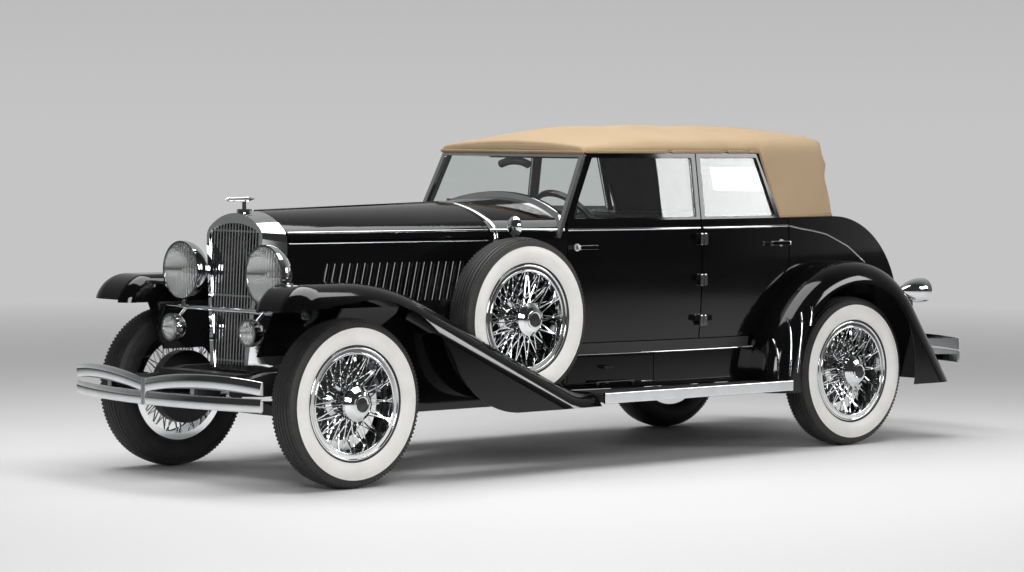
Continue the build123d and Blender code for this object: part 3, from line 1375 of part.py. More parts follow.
# Radiator: shell lofted from the hood's front section to a tapered front, with core, grille and cap
SHELL_DEPTH = 122
SHELL_FRONT_HALF = 232
SHELL_FOOT_HALF = 150
SHELL_FOOT_Z = 530
SHELL_TOP_Z = 1340
SHELL_TILT = 2.9
OPENING_HALF = 208
OPENING_FOOT_HALF = 122
OPENING_FOOT_Z = 556
OPENING_TOP_Z = 1290
SHELL_FRONT_X = HOOD_FRONT_X + SHELL_DEPTH
shell_face = Plane(
    origin=(SHELL_FRONT_X, 0, SHELL_TOP_Z),
    x_dir=(0, 1, 0),
    z_dir=(cos(radians(SHELL_TILT)), 0, sin(radians(SHELL_TILT))),
)
with BuildPart() as shell_block:
    with BuildSketch(plane_x(HOOD_FRONT_X)):
        arch_face(HOOD_FRONT_HALF, HOOD_FOOT_Z - 40, HOOD_FRONT_HALF, HOOD_SPRING_Z, HOOD_FRONT_TOP, 90)
    with BuildSketch(shell_face):
        arch_face(SHELL_FOOT_HALF, SHELL_FOOT_Z - SHELL_TOP_Z, SHELL_FRONT_HALF, HOOD_SPRING_Z + 20 - SHELL_TOP_Z, 0, 70)
    loft()
with BuildPart() as shell_opening:
    with BuildSketch(shell_face.offset(-2 * SHELL_DEPTH)):
        arch_face(
            OPENING_FOOT_HALF,
            OPENING_FOOT_Z - SHELL_TOP_Z,
            OPENING_HALF,
            HOOD_SPRING_Z + 22 - SHELL_TOP_Z,
            OPENING_TOP_Z - SHELL_TOP_Z,
            40,
        )
    extrude(amount=4 * SHELL_DEPTH)
CAP_X = HOOD_FRONT_X + 66
with BuildPart() as radiator_shell:
    add(shell_block.part)
    add(shell_opening.part, mode=Mode.SUBTRACT)
    # Filler cap with a plain dart on a stem
    with BuildSketch(Plane.XY.offset(SHELL_TOP_Z - 6)):
        with Locations((CAP_X, 0)):
            Circle(38)
    extrude(amount=26)
    with BuildSketch(Plane.XY.offset(SHELL_TOP_Z + 15)):
        with Locations((CAP_X, 0)):
            Circle(11)
    extrude(amount=56)
    with BuildSketch(Plane.XZ):
        with BuildLine():
            Polyline((CAP_X - 70, SHELL_TOP_Z + 70), (CAP_X + 120, SHELL_TOP_Z + 70), (CAP_X + 96, SHELL_TOP_Z + 82),
                     (CAP_X - 20, SHELL_TOP_Z + 84), close=True)
        make_face()
    revolve(axis=Axis((CAP_X, 0, SHELL_TOP_Z + 70), (1, 0, 0)))
finish(radiator_shell.part, "radiator_shell")

GRILLE_BARS = 17
BAR_WIDTH = 7
BAR_DEPTH = 12
BAR_SETBACK = 6
CORE_SETBACK = 60
CORE_DEPTH = 50
with BuildPart() as opening_fit:
    with BuildSketch(shell_face.offset(-SHELL_DEPTH)):
        arch_face(
            OPENING_FOOT_HALF - SEAT_GAP,
            OPENING_FOOT_Z - SHELL_TOP_Z + SEAT_GAP,
            OPENING_HALF - SEAT_GAP,
            HOOD_SPRING_Z + 22 - SHELL_TOP_Z,
            OPENING_TOP_Z - SHELL_TOP_Z - SEAT_GAP,
            40,
        )
    extrude(amount=2 * SHELL_DEPTH)
with BuildPart() as radiator_grille:
    with BuildSketch(shell_face.offset(-BAR_SETBACK)):
        with Locations((0, (OPENING_FOOT_Z + OPENING_TOP_Z) / 2 - SHELL_TOP_Z)):
            with GridLocations(2 * OPENING_HALF / GRILLE_BARS, 1, GRILLE_BARS, 1):
                Rectangle(BAR_WIDTH, OPENING_TOP_Z - OPENING_FOOT_Z + 20)
    extrude(amount=-BAR_DEPTH)
    with BuildSketch(shell_face.offset(-BAR_SETBACK - BAR_DEPTH)):
        for height in (OPENING_FOOT_Z + 40, (OPENING_FOOT_Z + OPENING_TOP_Z) / 2, OPENING_TOP_Z - 40):
            with Locations((0, height - SHELL_TOP_Z)):
                Rectangle(2 * OPENING_HALF, 10)
    extrude(amount=-6)
    add(opening_fit.part, mode=Mode.INTERSECT)
finish(radiator_grille.part, "radiator_grille")
with BuildPart() as radiator_core:
    with BuildSketch(shell_face.offset(-CORE_SETBACK)):
        with Locations((0, (OPENING_FOOT_Z + OPENING_TOP_Z) / 2 - SHELL_TOP_Z)):
            Rectangle(2 * OPENING_HALF + 10, OPENING_TOP_Z - OPENING_FOOT_Z + 20)
    extrude(amount=-CORE_DEPTH)
    add(opening_fit.part, mode=Mode.INTERSECT)
finish(radiator_core.part, "radiator_core")

# Lamps: chrome bowls on the cross bar, with separate lenses
LAMP_BAR_X = AXLE_F + 200
LAMP_BAR_Z = 853
LAMP_BAR_RADIUS = 13
LAMP_POST_RADIUS = 16
APRON_SHARE = (INNER_LIP_Z - LAMP_BAR_Z + LAMP_BAR_RADIUS) / (INNER_LIP_Z - HOOD_FOOT_Z)
LAMP_BAR_END = FENDER_INNER - APRON_SHARE * (FENDER_INNER - APRON_FOOT_Y) - SEAT_GAP
# Lamps: lens x, y, z, lens radius, bowl depth
LAMPS = (
    (AXLE_F + 225, 346, 1040, 152, 132),
    (AXLE_F + 310, 322, 755, 70, 95),
)
LENS_RISE = 16
LENS_THICK = 10
RIM_THICK = 10
LAMP_RIM_DEPTH = 18


with BuildPart() as lamp:
    for lens_x, lamp_y, lamp_z, radius, depth in LAMPS:
        with BuildSketch(plane_y(lamp_y)):
            with BuildLine():
                Line((lens_x, lamp_z), (lens_x, lamp_z + radius))
                Line((lens_x, lamp_z + radius), (lens_x - LAMP_RIM_DEPTH, lamp_z + radius))
                EllipticalCenterArc(
                    (lens_x - LAMP_RIM_DEPTH, lamp_z), depth - LAMP_RIM_DEPTH, radius, start_angle=90, arc_size=90
                )
                Line((lens_x - depth, lamp_z), (lens_x, lamp_z))
            make_face()
        revolve(axis=Axis((lens_x, lamp_y, lamp_z), (1, 0, 0)))
        with BuildSketch(plane_y(lamp_y)):
            with BuildLine():
                Polyline(
                    (lens_x + 1, lamp_z),
                    (lens_x + 1, lamp_z + radius - RIM_THICK),
                    (lens_x - LAMP_RIM_DEPTH, lamp_z + radius - RIM_THICK),
                    (lens_x - depth / 2, lamp_z + radius / 2),
                    (lens_x - depth / 2, lamp_z),
                    close=True,
                )
            make_face()
        revolve(axis=Axis((lens_x, lamp_y, lamp_z), (1, 0, 0)), mode=Mode.SUBTRACT)
    head, small = LAMPS
    # Post under the headlamp, cross bar, and the arm that carries the small lamp
    with BuildSketch(Plane.XY.offset(LAMP_BAR_Z)):
        with Locations((LAMP_BAR_X, head[1])):
            Circle(LAMP_POST_RADIUS)
    extrude(amount=head[2] - head[3] - LAMP_BAR_Z + RIM_THICK / 2)
    arm_start = Vector(LAMP_BAR_X, small[1], LAMP_BAR_Z)
    arm_end = Vector(small[0] - small[4] * 0.5, small[1], small[2] + 40)
    with BuildSketch(Plane(origin=arm_start, z_dir=arm_end - arm_start)):
        Circle(10)
    extrude(amount=(arm_end - arm_start).length)
    add(cross_cylinder(LAMP_BAR_X, LAMP_BAR_Z, LAMP_BAR_RADIUS, 0, LAMP_BAR_END))
    mirror(about=Plane.XZ)
finish(lamp.part, "lamps")
with BuildPart() as lens:
    for lens_x, lamp_y, lamp_z, radius, depth in LAMPS:
        fit = radius - RIM_THICK - SEAT_GAP
        with BuildSketch(plane_y(lamp_y)):
            with BuildLine():
                Polyline(
                    (lens_x, lamp_z + fit),
                    (lens_x - LENS_THICK, lamp_z + fit),
                    (lens_x - LENS_THICK, lamp_z),
                    (lens_x + LENS_RISE, lamp_z),
                )
                ThreePointArc(
                    (lens_x + LENS_RISE, lamp_z),
                    (lens_x + LENS_RISE * 0.75, lamp_z + fit / 2),
                    (lens_x, lamp_z + fit),
                )
            make_face()
        revolve(axis=Axis((lens_x, lamp_y, lamp_z), (1, 0, 0)))
finish(both_sides(lens.part), "lamp_lenses")

# Bumpers: two curved bars on irons from the frame
BUMPER_THICK = 12
BUMPER_BAR = 64
# Bumpers: end sign, half-width, sweep back at the ends, lower and upper bar middles, iron start x
FRONT_BUMPER = (1, 768, 136, (436, 518), RAIL_FRONT_X)
REAR_BUMPER = (-1, 715, 126, (456, 530), RAIL_REAR_X)
IRON_Y = RAIL_OUT - RAIL_WIDTH / 2
IRON_HALF = 16


def bumper(way, half, sweep, bar_heights, iron_x, wave):
    """Bumper with two bars, curved in plan; the upper bar may rise in a wave on each half."""
    face_x = way * LENGTH / 2
    with BuildPart() as band:
        with BuildSketch(Plane.XY):
            with BuildLine():
                back = face_x - way * BUMPER_THICK
                ThreePointArc((face_x - way * sweep, half), (face_x, 0), (face_x - way * sweep, -half))
                Line((face_x - way * sweep, -half), (back - way * sweep, -half))
                ThreePointArc((back - way * sweep, -half), (back, 0), (back - way * sweep, half))
                Line((back - way * sweep, half), (face_x - way * sweep, half))
            make_face()
        extrude(amount=LENGTH)
    low, high = bar_heights
    with BuildPart() as bars:
        with BuildSketch(plane_x(min(face_x, iron_x) - LENGTH)):
            with Locations((0, low)):
                RectangleRounded(2 * half + 1, BUMPER_BAR, 12)
            for edge in (1, -1):
                with BuildLine() as upper:
                    for rim in (-BUMPER_BAR / 2, BUMPER_BAR / 2):
                        ThreePointArc(
                            (0, high + rim - wave), (edge * half * 0.45, high + rim + wave), (edge * half, high + rim)
                        )
                    Line((0, high - BUMPER_BAR / 2 - wave), (0, high + BUMPER_BAR / 2 - wave))
                    Line((edge * half, high - BUMPER_BAR / 2), (edge * half, high + BUMPER_BAR / 2))
                make_face(upper.edges())
        extrude(amount=2 * LENGTH)
    inner_face = face_x - way * (BUMPER_THICK + sweep * (IRON_Y / half) ** 2 - 2)
    with BuildPart() as whole:
        add(band.part)
        add(bars.part, mode=Mode.INTERSECT)
        # Irons from the frame, and the clip that ties the bars in the middle
        with BuildSketch(Plane.XY.offset(low - 10)):
            for side in (1, -1):
                with Locations(((inner_face + iron_x + way * SEAT_GAP) / 2, side * IRON_Y)):
                    Rectangle(abs(inner_face - iron_x) - SEAT_GAP, 2 * IRON_HALF)
        extrude(amount=high - low + 20)
        with BuildSketch(Plane.XY.offset(low - BUMPER_BAR / 2 + 8)):
            with Locations((face_x - way * BUMPER_THICK / 2, 0)):
                Rectangle(BUMPER_THICK, 46)
        extrude(amount=high - low + BUMPER_BAR - 20)
    return whole.part


finish(bumper(*FRONT_BUMPER, wave=14), "front_bumper")
finish(bumper(*REAR_BUMPER, wave=6), "rear_bumper")

# Running boards, their bright edges, and the splash aprons with the tool-box doors
BOARD_FRONT_X = FENDER_TAIL_X - SEAT_GAP
BOARD_REAR_X = AXLE_R + 590
BOARD_EDGE_Y = FENDER_Y + 4
EDGE_WIDTH = 14
APRON_INSET = 30
APRON_WALL = 12
RIBS = 8
RIB_HEIGHT = 4
rear_outside = rear_fender_form(-SEAT_GAP)
apron_band = side_band(
    [
        (APRON_INSET, BOARD_Z + SEAT_GAP),
        (APRON_INSET, SILL_Z - SEAT_GAP),
        (APRON_INSET + APRON_WALL, SILL_Z - SEAT_GAP),
        (APRON_INSET + APRON_WALL, BOARD_Z + SEAT_GAP),
    ]
)
BOX_FRONT_X = DOOR_FRONT_X - 25
BOX_REAR_X = BOX_FRONT_X - 570
BOX_FOOT_Z = BOARD_Z + 28
BOX_TOP_Z = SILL_Z - 14
BOX_HINGE_RADIUS = 5
BOX_HINGE_OUT = 22
apron_keep = side_prism(
    [
        (FENDER_TAIL_X - 1, BOARD_Z),
        (BOARD_REAR_X + 100, BOARD_Z),
        (BOARD_REAR_X + 100, SILL_Z),
        (FENDER_TAIL_X - 1, SILL_Z),
    ],
    0,
    HALF_WIDTH_POST + 100,
)
box_cut = side_prism(
    [(BOX_FRONT_X, BOX_FOOT_Z), (BOX_REAR_X, BOX_FOOT_Z), (BOX_REAR_X, BOX_TOP_Z), (BOX_FRONT_X, BOX_TOP_Z)],
    0,
    HALF_WIDTH_POST + 100,
)
box_panel = side_prism(
    [
        (BOX_FRONT_X - MOVE_GAP, BOX_FOOT_Z + MOVE_GAP),
        (BOX_REAR_X + MOVE_GAP, BOX_FOOT_Z + MOVE_GAP),
        (BOX_REAR_X + MOVE_GAP, BOX_TOP_Z - MOVE_GAP),
        (BOX_FRONT_X - MOVE_GAP, BOX_TOP_Z - MOVE_GAP),
    ],
    0,
    HALF_WIDTH_POST + 100,
)
BOX_MIDDLE_X = (BOX_FRONT_X + BOX_REAR_X) / 2
BOX_Y = plan_y(BOX_MIDDLE_X, APRON_INSET)
BOX_HINGE_Y = BOX_Y + BOX_HINGE_RADIUS + BOX_HINGE_OUT
BOX_HINGE_Z = BOX_FOOT_Z + MOVE_GAP + BOX_HINGE_RADIUS
BOX_BARREL = 240
BOX_LUG = 20
with BuildPart() as apron:
    add(apron_band)
    add(apron_keep, mode=Mode.INTERSECT)
    add(box_cut, mode=Mode.SUBTRACT)
    add(rear_outside, mode=Mode.SUBTRACT)
    # Lugs that hold the two ends of the tool box door's hinge barrel
    for lug_x in (BOX_MIDDLE_X - BOX_BARREL / 2 - SEAT_GAP - BOX_LUG, BOX_MIDDLE_X + BOX_BARREL / 2 + SEAT_GAP):
        with BuildSketch(plane_x(lug_x)):
            with Locations((BOX_HINGE_Y, BOX_HINGE_Z)):
                Circle(BOX_HINGE_RADIUS)
            with BuildLine() as lug_line:
                Polyline(
                    (BOX_Y - APRON_WALL - 2, BOX_FOOT_Z - 14),
                    (BOX_Y - APRON_WALL - 2, BOX_FOOT_Z - 2),
                    (BOX_HINGE_Y - BOX_HINGE_RADIUS, BOX_FOOT_Z - 2),
                    (BOX_HINGE_Y - BOX_HINGE_RADIUS, BOX_HINGE_Z),
                    (BOX_HINGE_Y + BOX_HINGE_RADIUS, BOX_HINGE_Z),
                    (BOX_HINGE_Y + BOX_HINGE_RADIUS, BOX_FOOT_Z - 14),
                    close=True,
                )
            make_face(lug_line.edges())
        extrude(amount=BOX_LUG)
finish(both_sides(apron.part), "splash_aprons")
with BuildPart() as box_door:
    add(apron_band)
    add(box_panel, mode=Mode.INTERSECT)
    with BuildSketch(plane_x(BOX_MIDDLE_X - BOX_BARREL / 2)):
        with Locations((BOX_HINGE_Y, BOX_HINGE_Z)):
            Circle(BOX_HINGE_RADIUS)
        with Locations(((BOX_HINGE_Y + BOX_Y) / 2 - 10, BOX_HINGE_Z)):
            Rectangle(BOX_HINGE_Y - BOX_Y + 16, 6)
    extrude(amount=BOX_BARREL)
    with BuildSketch(plane_y(BOX_Y + 22)):
        with Locations((BOX_MIDDLE_X + 40, BOX_TOP_Z - 60)):
            SlotOverall(70, 16)
    extrude(amount=40)
finish(box_door.part, "tool_box_door_left")
finish(box_door.part.mirror(Plane.XZ), "tool_box_door_right")

with BuildPart() as board:
    with BuildSketch(Plane.XY.offset(BOARD_Z - BOARD_THICK)):
        with BuildLine():
            inner_front = plan_y(BOARD_FRONT_X, APRON_INSET + APRON_WALL)
            inner_rear = plan_y(BOARD_REAR_X, APRON_INSET + APRON_WALL)
            inner_post = plan_y(POST_X, APRON_INSET + APRON_WALL)
            Polyline(
                (BOARD_FRONT_X, inner_front),
                (BOARD_FRONT_X, BOARD_EDGE_Y - EDGE_WIDTH - SEAT_GAP),
                (BOARD_REAR_X, BOARD_EDGE_Y - EDGE_WIDTH - SEAT_GAP),
                (BOARD_REAR_X, inner_rear),
            )
            ThreePointArc((BOARD_REAR_X, inner_rear), (POST_X, inner_post), (BOARD_FRONT_X, inner_front))
        make_face()
    extrude(amount=BOARD_THICK - RIB_HEIGHT)
    rib_low, rib_high = HALF_WIDTH_POST + 20, BOARD_EDGE_Y - EDGE_WIDTH - 16
    with BuildSketch(Plane.XY.offset(BOARD_Z - RIB_HEIGHT - 1)):
        for number in range(RIBS):
            rib_y = rib_low + (rib_high - rib_low) * number / (RIBS - 1)
            with Locations(((BOARD_FRONT_X + BOARD_REAR_X) / 2, rib_y)):
                Rectangle(BOARD_FRONT_X - BOARD_REAR_X - 20, 8)
    extrude(amount=RIB_HEIGHT + 1)
    add(rear_outside, mode=Mode.SUBTRACT)
finish(both_sides(board.part), "running_boards")
with BuildPart() as board_trim:
    with BuildSketch(plane_x(BOARD_REAR_X)):
        with Locations((BOARD_EDGE_Y - EDGE_WIDTH / 2, BOARD_Z - BOARD_THICK / 2)):
            RectangleRounded(EDGE_WIDTH, BOARD_THICK + 12, 6)
    extrude(amount=BOARD_FRONT_X - BOARD_REAR_X)
    add(rear_outside, mode=Mode.SUBTRACT)
finish(both_sides(board_trim.part), "board_trims")

# Tail lamps: bullets on stalks that stand on the rear fenders
TAIL_LAMP_X = AXLE_R - 590
TAIL_LAMP_Y = WHEEL_Y + 26
TAIL_LAMP_Z = 857
TAIL_LAMP_RADIUS = 70
with BuildPart() as tail_lamp:
    with BuildSketch(plane_y(TAIL_LAMP_Y)):
        with BuildLine():
            Polyline(
                (TAIL_LAMP_X + 150, TAIL_LAMP_Z),
                (TAIL_LAMP_X - 60, TAIL_LAMP_Z),
                (TAIL_LAMP_X - 60, TAIL_LAMP_Z + TAIL_LAMP_RADIUS),
                (TAIL_LAMP_X - 40, TAIL_LAMP_Z + TAIL_LAMP_RADIUS),
            )
            ThreePointArc(
                (TAIL_LAMP_X - 40, TAIL_LAMP_Z + TAIL_LAMP_RADIUS),
                (TAIL_LAMP_X + 80, TAIL_LAMP_Z + TAIL_LAMP_RADIUS * 0.66),
                (TAIL_LAMP_X + 150, TAIL_LAMP_Z),
            )
        make_face()
    revolve(axis=Axis((TAIL_LAMP_X, TAIL_LAMP_Y, TAIL_LAMP_Z), (1, 0, 0)))
    with BuildSketch(Plane.XY.offset(TAIL_LAMP_Z - 20)):
        with Locations((TAIL_LAMP_X + 60, TAIL_LAMP_Y)):
            Circle(22)
    extrude(amount=-260)
    add(rear_outside, mode=Mode.SUBTRACT)
finish(both_sides(tail_lamp.part), "tail_lamps")
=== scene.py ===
"""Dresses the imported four-door convertible sedan for a studio portrait."""

from __future__ import annotations

import json
import logging
import math
from dataclasses import dataclass
from enum import Enum

import bmesh
import bpy
from mathutils import Matrix, Vector
from mathutils.bvhtree import BVHTree


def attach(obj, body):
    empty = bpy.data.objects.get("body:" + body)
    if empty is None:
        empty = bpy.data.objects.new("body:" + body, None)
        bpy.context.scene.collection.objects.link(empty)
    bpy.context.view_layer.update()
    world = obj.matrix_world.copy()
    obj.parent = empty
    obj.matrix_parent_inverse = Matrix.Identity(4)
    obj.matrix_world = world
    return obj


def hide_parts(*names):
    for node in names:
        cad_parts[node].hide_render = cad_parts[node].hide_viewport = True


LOG = logging.getLogger("convertible")
SIDES = {"left": 1, "right": -1}
CORNERS = ("front_left", "front_right", "rear_left", "rear_right")
AXLE_X = {"front": 2.030, "rear": -1.590}
AXLE_Z = 0.420
WHEEL_Y = 0.720
SPARE_X = 0.890
RAY_START = 2.0
CAR = "car"
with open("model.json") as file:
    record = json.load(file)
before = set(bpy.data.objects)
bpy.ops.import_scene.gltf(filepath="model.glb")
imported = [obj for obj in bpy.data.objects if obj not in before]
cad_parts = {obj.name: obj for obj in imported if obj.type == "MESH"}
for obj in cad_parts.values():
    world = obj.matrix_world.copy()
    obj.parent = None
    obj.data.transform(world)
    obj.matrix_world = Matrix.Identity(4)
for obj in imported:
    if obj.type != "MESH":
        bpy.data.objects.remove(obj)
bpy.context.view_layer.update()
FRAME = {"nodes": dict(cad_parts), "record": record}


class Slot(Enum):
    """Material slots of the record."""

    TYRE = "tyre_rubber"
    CHROME = "bright_trim"
    PAINT = "body_paint"
    GLASS = "clear_glass"
    CANVAS = "canvas"
    LEATHER = "seat_leather"
    DASH = "dash_panel"
    CHASSIS = "chassis_paint"
    CAST = "cast_metal"
    BOARD = "board_rubber"


# Shader node groups


def group_tree(
    name: str,
    inputs: dict[str, tuple[str, object]],
    outputs: dict[str, str],
) -> bpy.types.NodeTree:
    """Makes a shader node group with named sockets.

    Args:
        name: the group's name.
        inputs: socket name to (short socket type, default value).
        outputs: socket name to short socket type.

    Returns:
        The new tree, with its input and output nodes in place.
    """
    tree = bpy.data.node_groups.new(name, "ShaderNodeTree")
    for label, (kind, value) in inputs.items():
        socket = tree.interface.new_socket(label, in_out="INPUT", socket_type=f"NodeSocket{kind}")
        socket.default_value = value
    for label, kind in outputs.items():
        tree.interface.new_socket(label, in_out="OUTPUT", socket_type=f"NodeSocket{kind}")
    tree.nodes.new("NodeGroupInput").name = "in"
    tree.nodes.new("NodeGroupOutput").name = "out"
    return tree


def mottle_group() -> bpy.types.NodeTree:
    """Group that varies a colour and a roughness in soft patches, as handling and dust do."""
    tree = group_tree(
        "mottle",
        {
            "Base": ("Color", (0.5, 0.5, 0.5, 1)),
            "Patch": ("Color", (0.4, 0.4, 0.4, 1)),
            "Scale": ("Float", 6.0),
            "Amount": ("Float", 0.5),
            "Smooth": ("Float", 0.1),
            "Rough": ("Float", 0.3),
        },
        {"Color": "Color", "Roughness": "Float"},
    )
    nodes, links = tree.nodes, tree.links
    where = nodes.new("ShaderNodeTexCoord")
    noise = nodes.new("ShaderNodeTexNoise")
    noise.inputs["Detail"].default_value = 5
    mask = nodes.new("ShaderNodeMapRange")
    mask.inputs["From Min"].default_value = 0.42
    mask.inputs["From Max"].default_value = 0.68
    share = nodes.new("ShaderNodeMath")
    share.operation = "MULTIPLY"
    blend = nodes.new("ShaderNodeMix")
    blend.data_type = "RGBA"
    rough = nodes.new("ShaderNodeMix")
    links.new(where.outputs["Object"], noise.inputs["Vector"])
    links.new(nodes["in"].outputs["Scale"], noise.inputs["Scale"])
    links.new(noise.outputs["Fac"], mask.inputs["Value"])
    links.new(mask.outputs["Result"], share.inputs[0])
    links.new(nodes["in"].outputs["Amount"], share.inputs[1])
    links.new(share.outputs[0], blend.inputs[0])
    links.new(nodes["in"].outputs["Base"], blend.inputs[6])
    links.new(nodes["in"].outputs["Patch"], blend.inputs[7])
    links.new(share.outputs[0], rough.inputs[0])
    links.new(nodes["in"].outputs["Smooth"], rough.inputs[2])
    links.new(nodes["in"].outputs["Rough"], rough.inputs[3])
    links.new(blend.outputs[2], nodes["out"].inputs["Color"])
    links.new(rough.outputs[0], nodes["out"].inputs["Roughness"])
    return tree


def grain_group() -> bpy.types.NodeTree:
    """Group that raises a fine cellular or noise grain as a normal."""
    tree = group_tree(
        "grain",
        {"Scale": ("Float", 300.0), "Cells": ("Float", 0.0), "Depth": ("Float", 0.1)},
        {"Normal": "Vector"},
    )
    nodes, links = tree.nodes, tree.links
    where = nodes.new("ShaderNodeTexCoord")
    noise = nodes.new("ShaderNodeTexNoise")
    noise.inputs["Detail"].default_value = 3
    cells = nodes.new("ShaderNodeTexVoronoi")
    height = nodes.new("ShaderNodeMix")
    bump = nodes.new("ShaderNodeBump")
    bump.inputs["Distance"].default_value = 0.002
    for texture in (noise, cells):
        links.new(where.outputs["Object"], texture.inputs["Vector"])
        links.new(nodes["in"].outputs["Scale"], texture.inputs["Scale"])
    links.new(nodes["in"].outputs["Cells"], height.inputs[0])
    links.new(noise.outputs["Fac"], height.inputs[2])
    links.new(cells.outputs["Distance"], height.inputs[3])
    links.new(height.outputs[0], bump.inputs["Height"])
    links.new(nodes["in"].outputs["Depth"], bump.inputs["Strength"])
    links.new(bump.outputs["Normal"], nodes["out"].inputs["Normal"])
    return tree


def weave_group() -> bpy.types.NodeTree:
    """Group that makes a plain weave: crossing threads as a normal, and painted shade that darkens the low
    parts between the threads.
    """
    tree = group_tree(
        "weave",
        {"Thread": ("Float", 300.0), "Depth": ("Float", 0.4)},
        {"PaintedShade": "Float", "Normal": "Vector"},
    )
    nodes, links = tree.nodes, tree.links
    where = nodes.new("ShaderNodeTexCoord")
    threads = []
    for direction in ("X", "Y", "Z"):
        wave = nodes.new("ShaderNodeTexWave")
        wave.bands_direction = direction
        wave.inputs["Distortion"].default_value = 0.6
        wave.inputs["Detail"].default_value = 1
        links.new(where.outputs["Object"], wave.inputs["Vector"])
        links.new(nodes["in"].outputs["Thread"], wave.inputs["Scale"])
        threads.append(wave.outputs["Fac"])
    total = threads[0]
    for thread in threads[1:]:
        joined = nodes.new("ShaderNodeMath")
        joined.operation = "MULTIPLY_ADD"
        joined.inputs[1].default_value = 1.0
        links.new(thread, joined.inputs[0])
        links.new(total, joined.inputs[2])
        total = joined.outputs[0]
    # Painted shade: the low parts of the weave come out darker.
    shade = nodes.new("ShaderNodeMapRange")
    shade.inputs["From Max"].default_value = 3.0
    bump = nodes.new("ShaderNodeBump")
    bump.inputs["Distance"].default_value = 0.001
    links.new(total, shade.inputs["Value"])
    links.new(total, bump.inputs["Height"])
    links.new(nodes["in"].outputs["Depth"], bump.inputs["Strength"])
    links.new(shade.outputs["Result"], nodes["out"].inputs["PaintedShade"])
    links.new(bump.outputs["Normal"], nodes["out"].inputs["Normal"])
    return tree


def flute_group() -> bpy.types.NodeTree:
    """Group that raises upright flutes, as on a pressed lamp lens."""
    tree = group_tree("flute", {"Scale": ("Float", 30.0), "Depth": ("Float", 0.5)}, {"Normal": "Vector"})
    nodes, links = tree.nodes, tree.links
    where = nodes.new("ShaderNodeTexCoord")
    wave = nodes.new("ShaderNodeTexWave")
    wave.bands_direction = "Y"
    bump = nodes.new("ShaderNodeBump")
    bump.inputs["Distance"].default_value = 0.003
    links.new(where.outputs["Object"], wave.inputs["Vector"])
    links.new(nodes["in"].outputs["Scale"], wave.inputs["Scale"])
    links.new(wave.outputs["Fac"], bump.inputs["Height"])
    links.new(nodes["in"].outputs["Depth"], bump.inputs["Strength"])
    links.new(bump.outputs["Normal"], nodes["out"].inputs["Normal"])
    return tree


GROUPS = {"mottle": mottle_group(), "grain": grain_group(), "weave": weave_group(), "flute": flute_group()}


@dataclass(frozen=True)
class Finish:
    """A surface finish: colours, gloss and grain."""

    name: str
    base: tuple[float, float, float]
    patch: tuple[float, float, float]
    smooth: float
    rough: float
    amount: float = 0.5
    scale: float = 5.0
    metallic: float = 0.0
    coat: float = 0.0
    grain: float = 0.0
    grain_scale: float = 400.0
    cells: float = 0.0
    transmission: float = 0.0
    sheen: float = 0.0
    thread: float = 0.0
    flute: float = 0.0
    specular: float = 0.5

    def placed(self, tree: bpy.types.NodeTree, kind: str, **values: float) -> bpy.types.Node:
        """Places a shared group in a material.

        Args:
            tree: the material's node tree.
            kind: the group's key.
            values: input socket name to value.

        Returns:
            The group node.
        """
        node = tree.nodes.new("ShaderNodeGroup")
        node.node_tree = GROUPS[kind]
        for label, value in values.items():
            node.inputs[label].default_value = value
        return node

    def material(self) -> bpy.types.Material:
        """Builds the finish's node material once, and returns it."""
        known = bpy.data.materials.get(self.name)
        if known:
            return known
        material = bpy.data.materials.new(self.name)
        material.use_nodes = True
        tree = material.node_tree
        shader = tree.nodes["Principled BSDF"]
        shader.inputs["Metallic"].default_value = self.metallic
        shader.inputs["Coat Weight"].default_value = self.coat
        shader.inputs["Coat Roughness"].default_value = 0.03
        shader.inputs["Transmission Weight"].default_value = self.transmission
        shader.inputs["Sheen Weight"].default_value = self.sheen
        shader.inputs["Specular IOR Level"].default_value = self.specular
        mottle = self.placed(
            tree,
            "mottle",
            Base=(*self.base, 1),
            Patch=(*self.patch, 1),
            Scale=self.scale,
            Amount=self.amount,
            Smooth=self.smooth,
            Rough=self.rough,
        )
        colour = mottle.outputs["Color"]
        if self.thread:
            weave = self.placed(tree, "weave", Thread=self.thread, Depth=0.35)
            # The weave's painted shade darkens the cloth colour between the threads.
            shaded = tree.nodes.new("ShaderNodeMix")
            shaded.data_type = "RGBA"
            shaded.blend_type = "MULTIPLY"
            shaded.inputs[0].default_value = 0.35
            tree.links.new(colour, shaded.inputs[6])
            tree.links.new(weave.outputs["PaintedShade"], shaded.inputs[7])
            colour = shaded.outputs[2]
            tree.links.new(weave.outputs["Normal"], shader.inputs["Normal"])
        if self.grain:
            grain = self.placed(tree, "grain", Scale=self.grain_scale, Cells=self.cells, Depth=self.grain)
            tree.links.new(grain.outputs["Normal"], shader.inputs["Normal"])
        if self.flute:
            flute = self.placed(tree, "flute", Scale=self.flute, Depth=0.25)
            tree.links.new(flute.outputs["Normal"], shader.inputs["Normal"])
        tree.links.new(colour, shader.inputs["Base Color"])
        tree.links.new(mottle.outputs["Roughness"], shader.inputs["Roughness"])
        return material


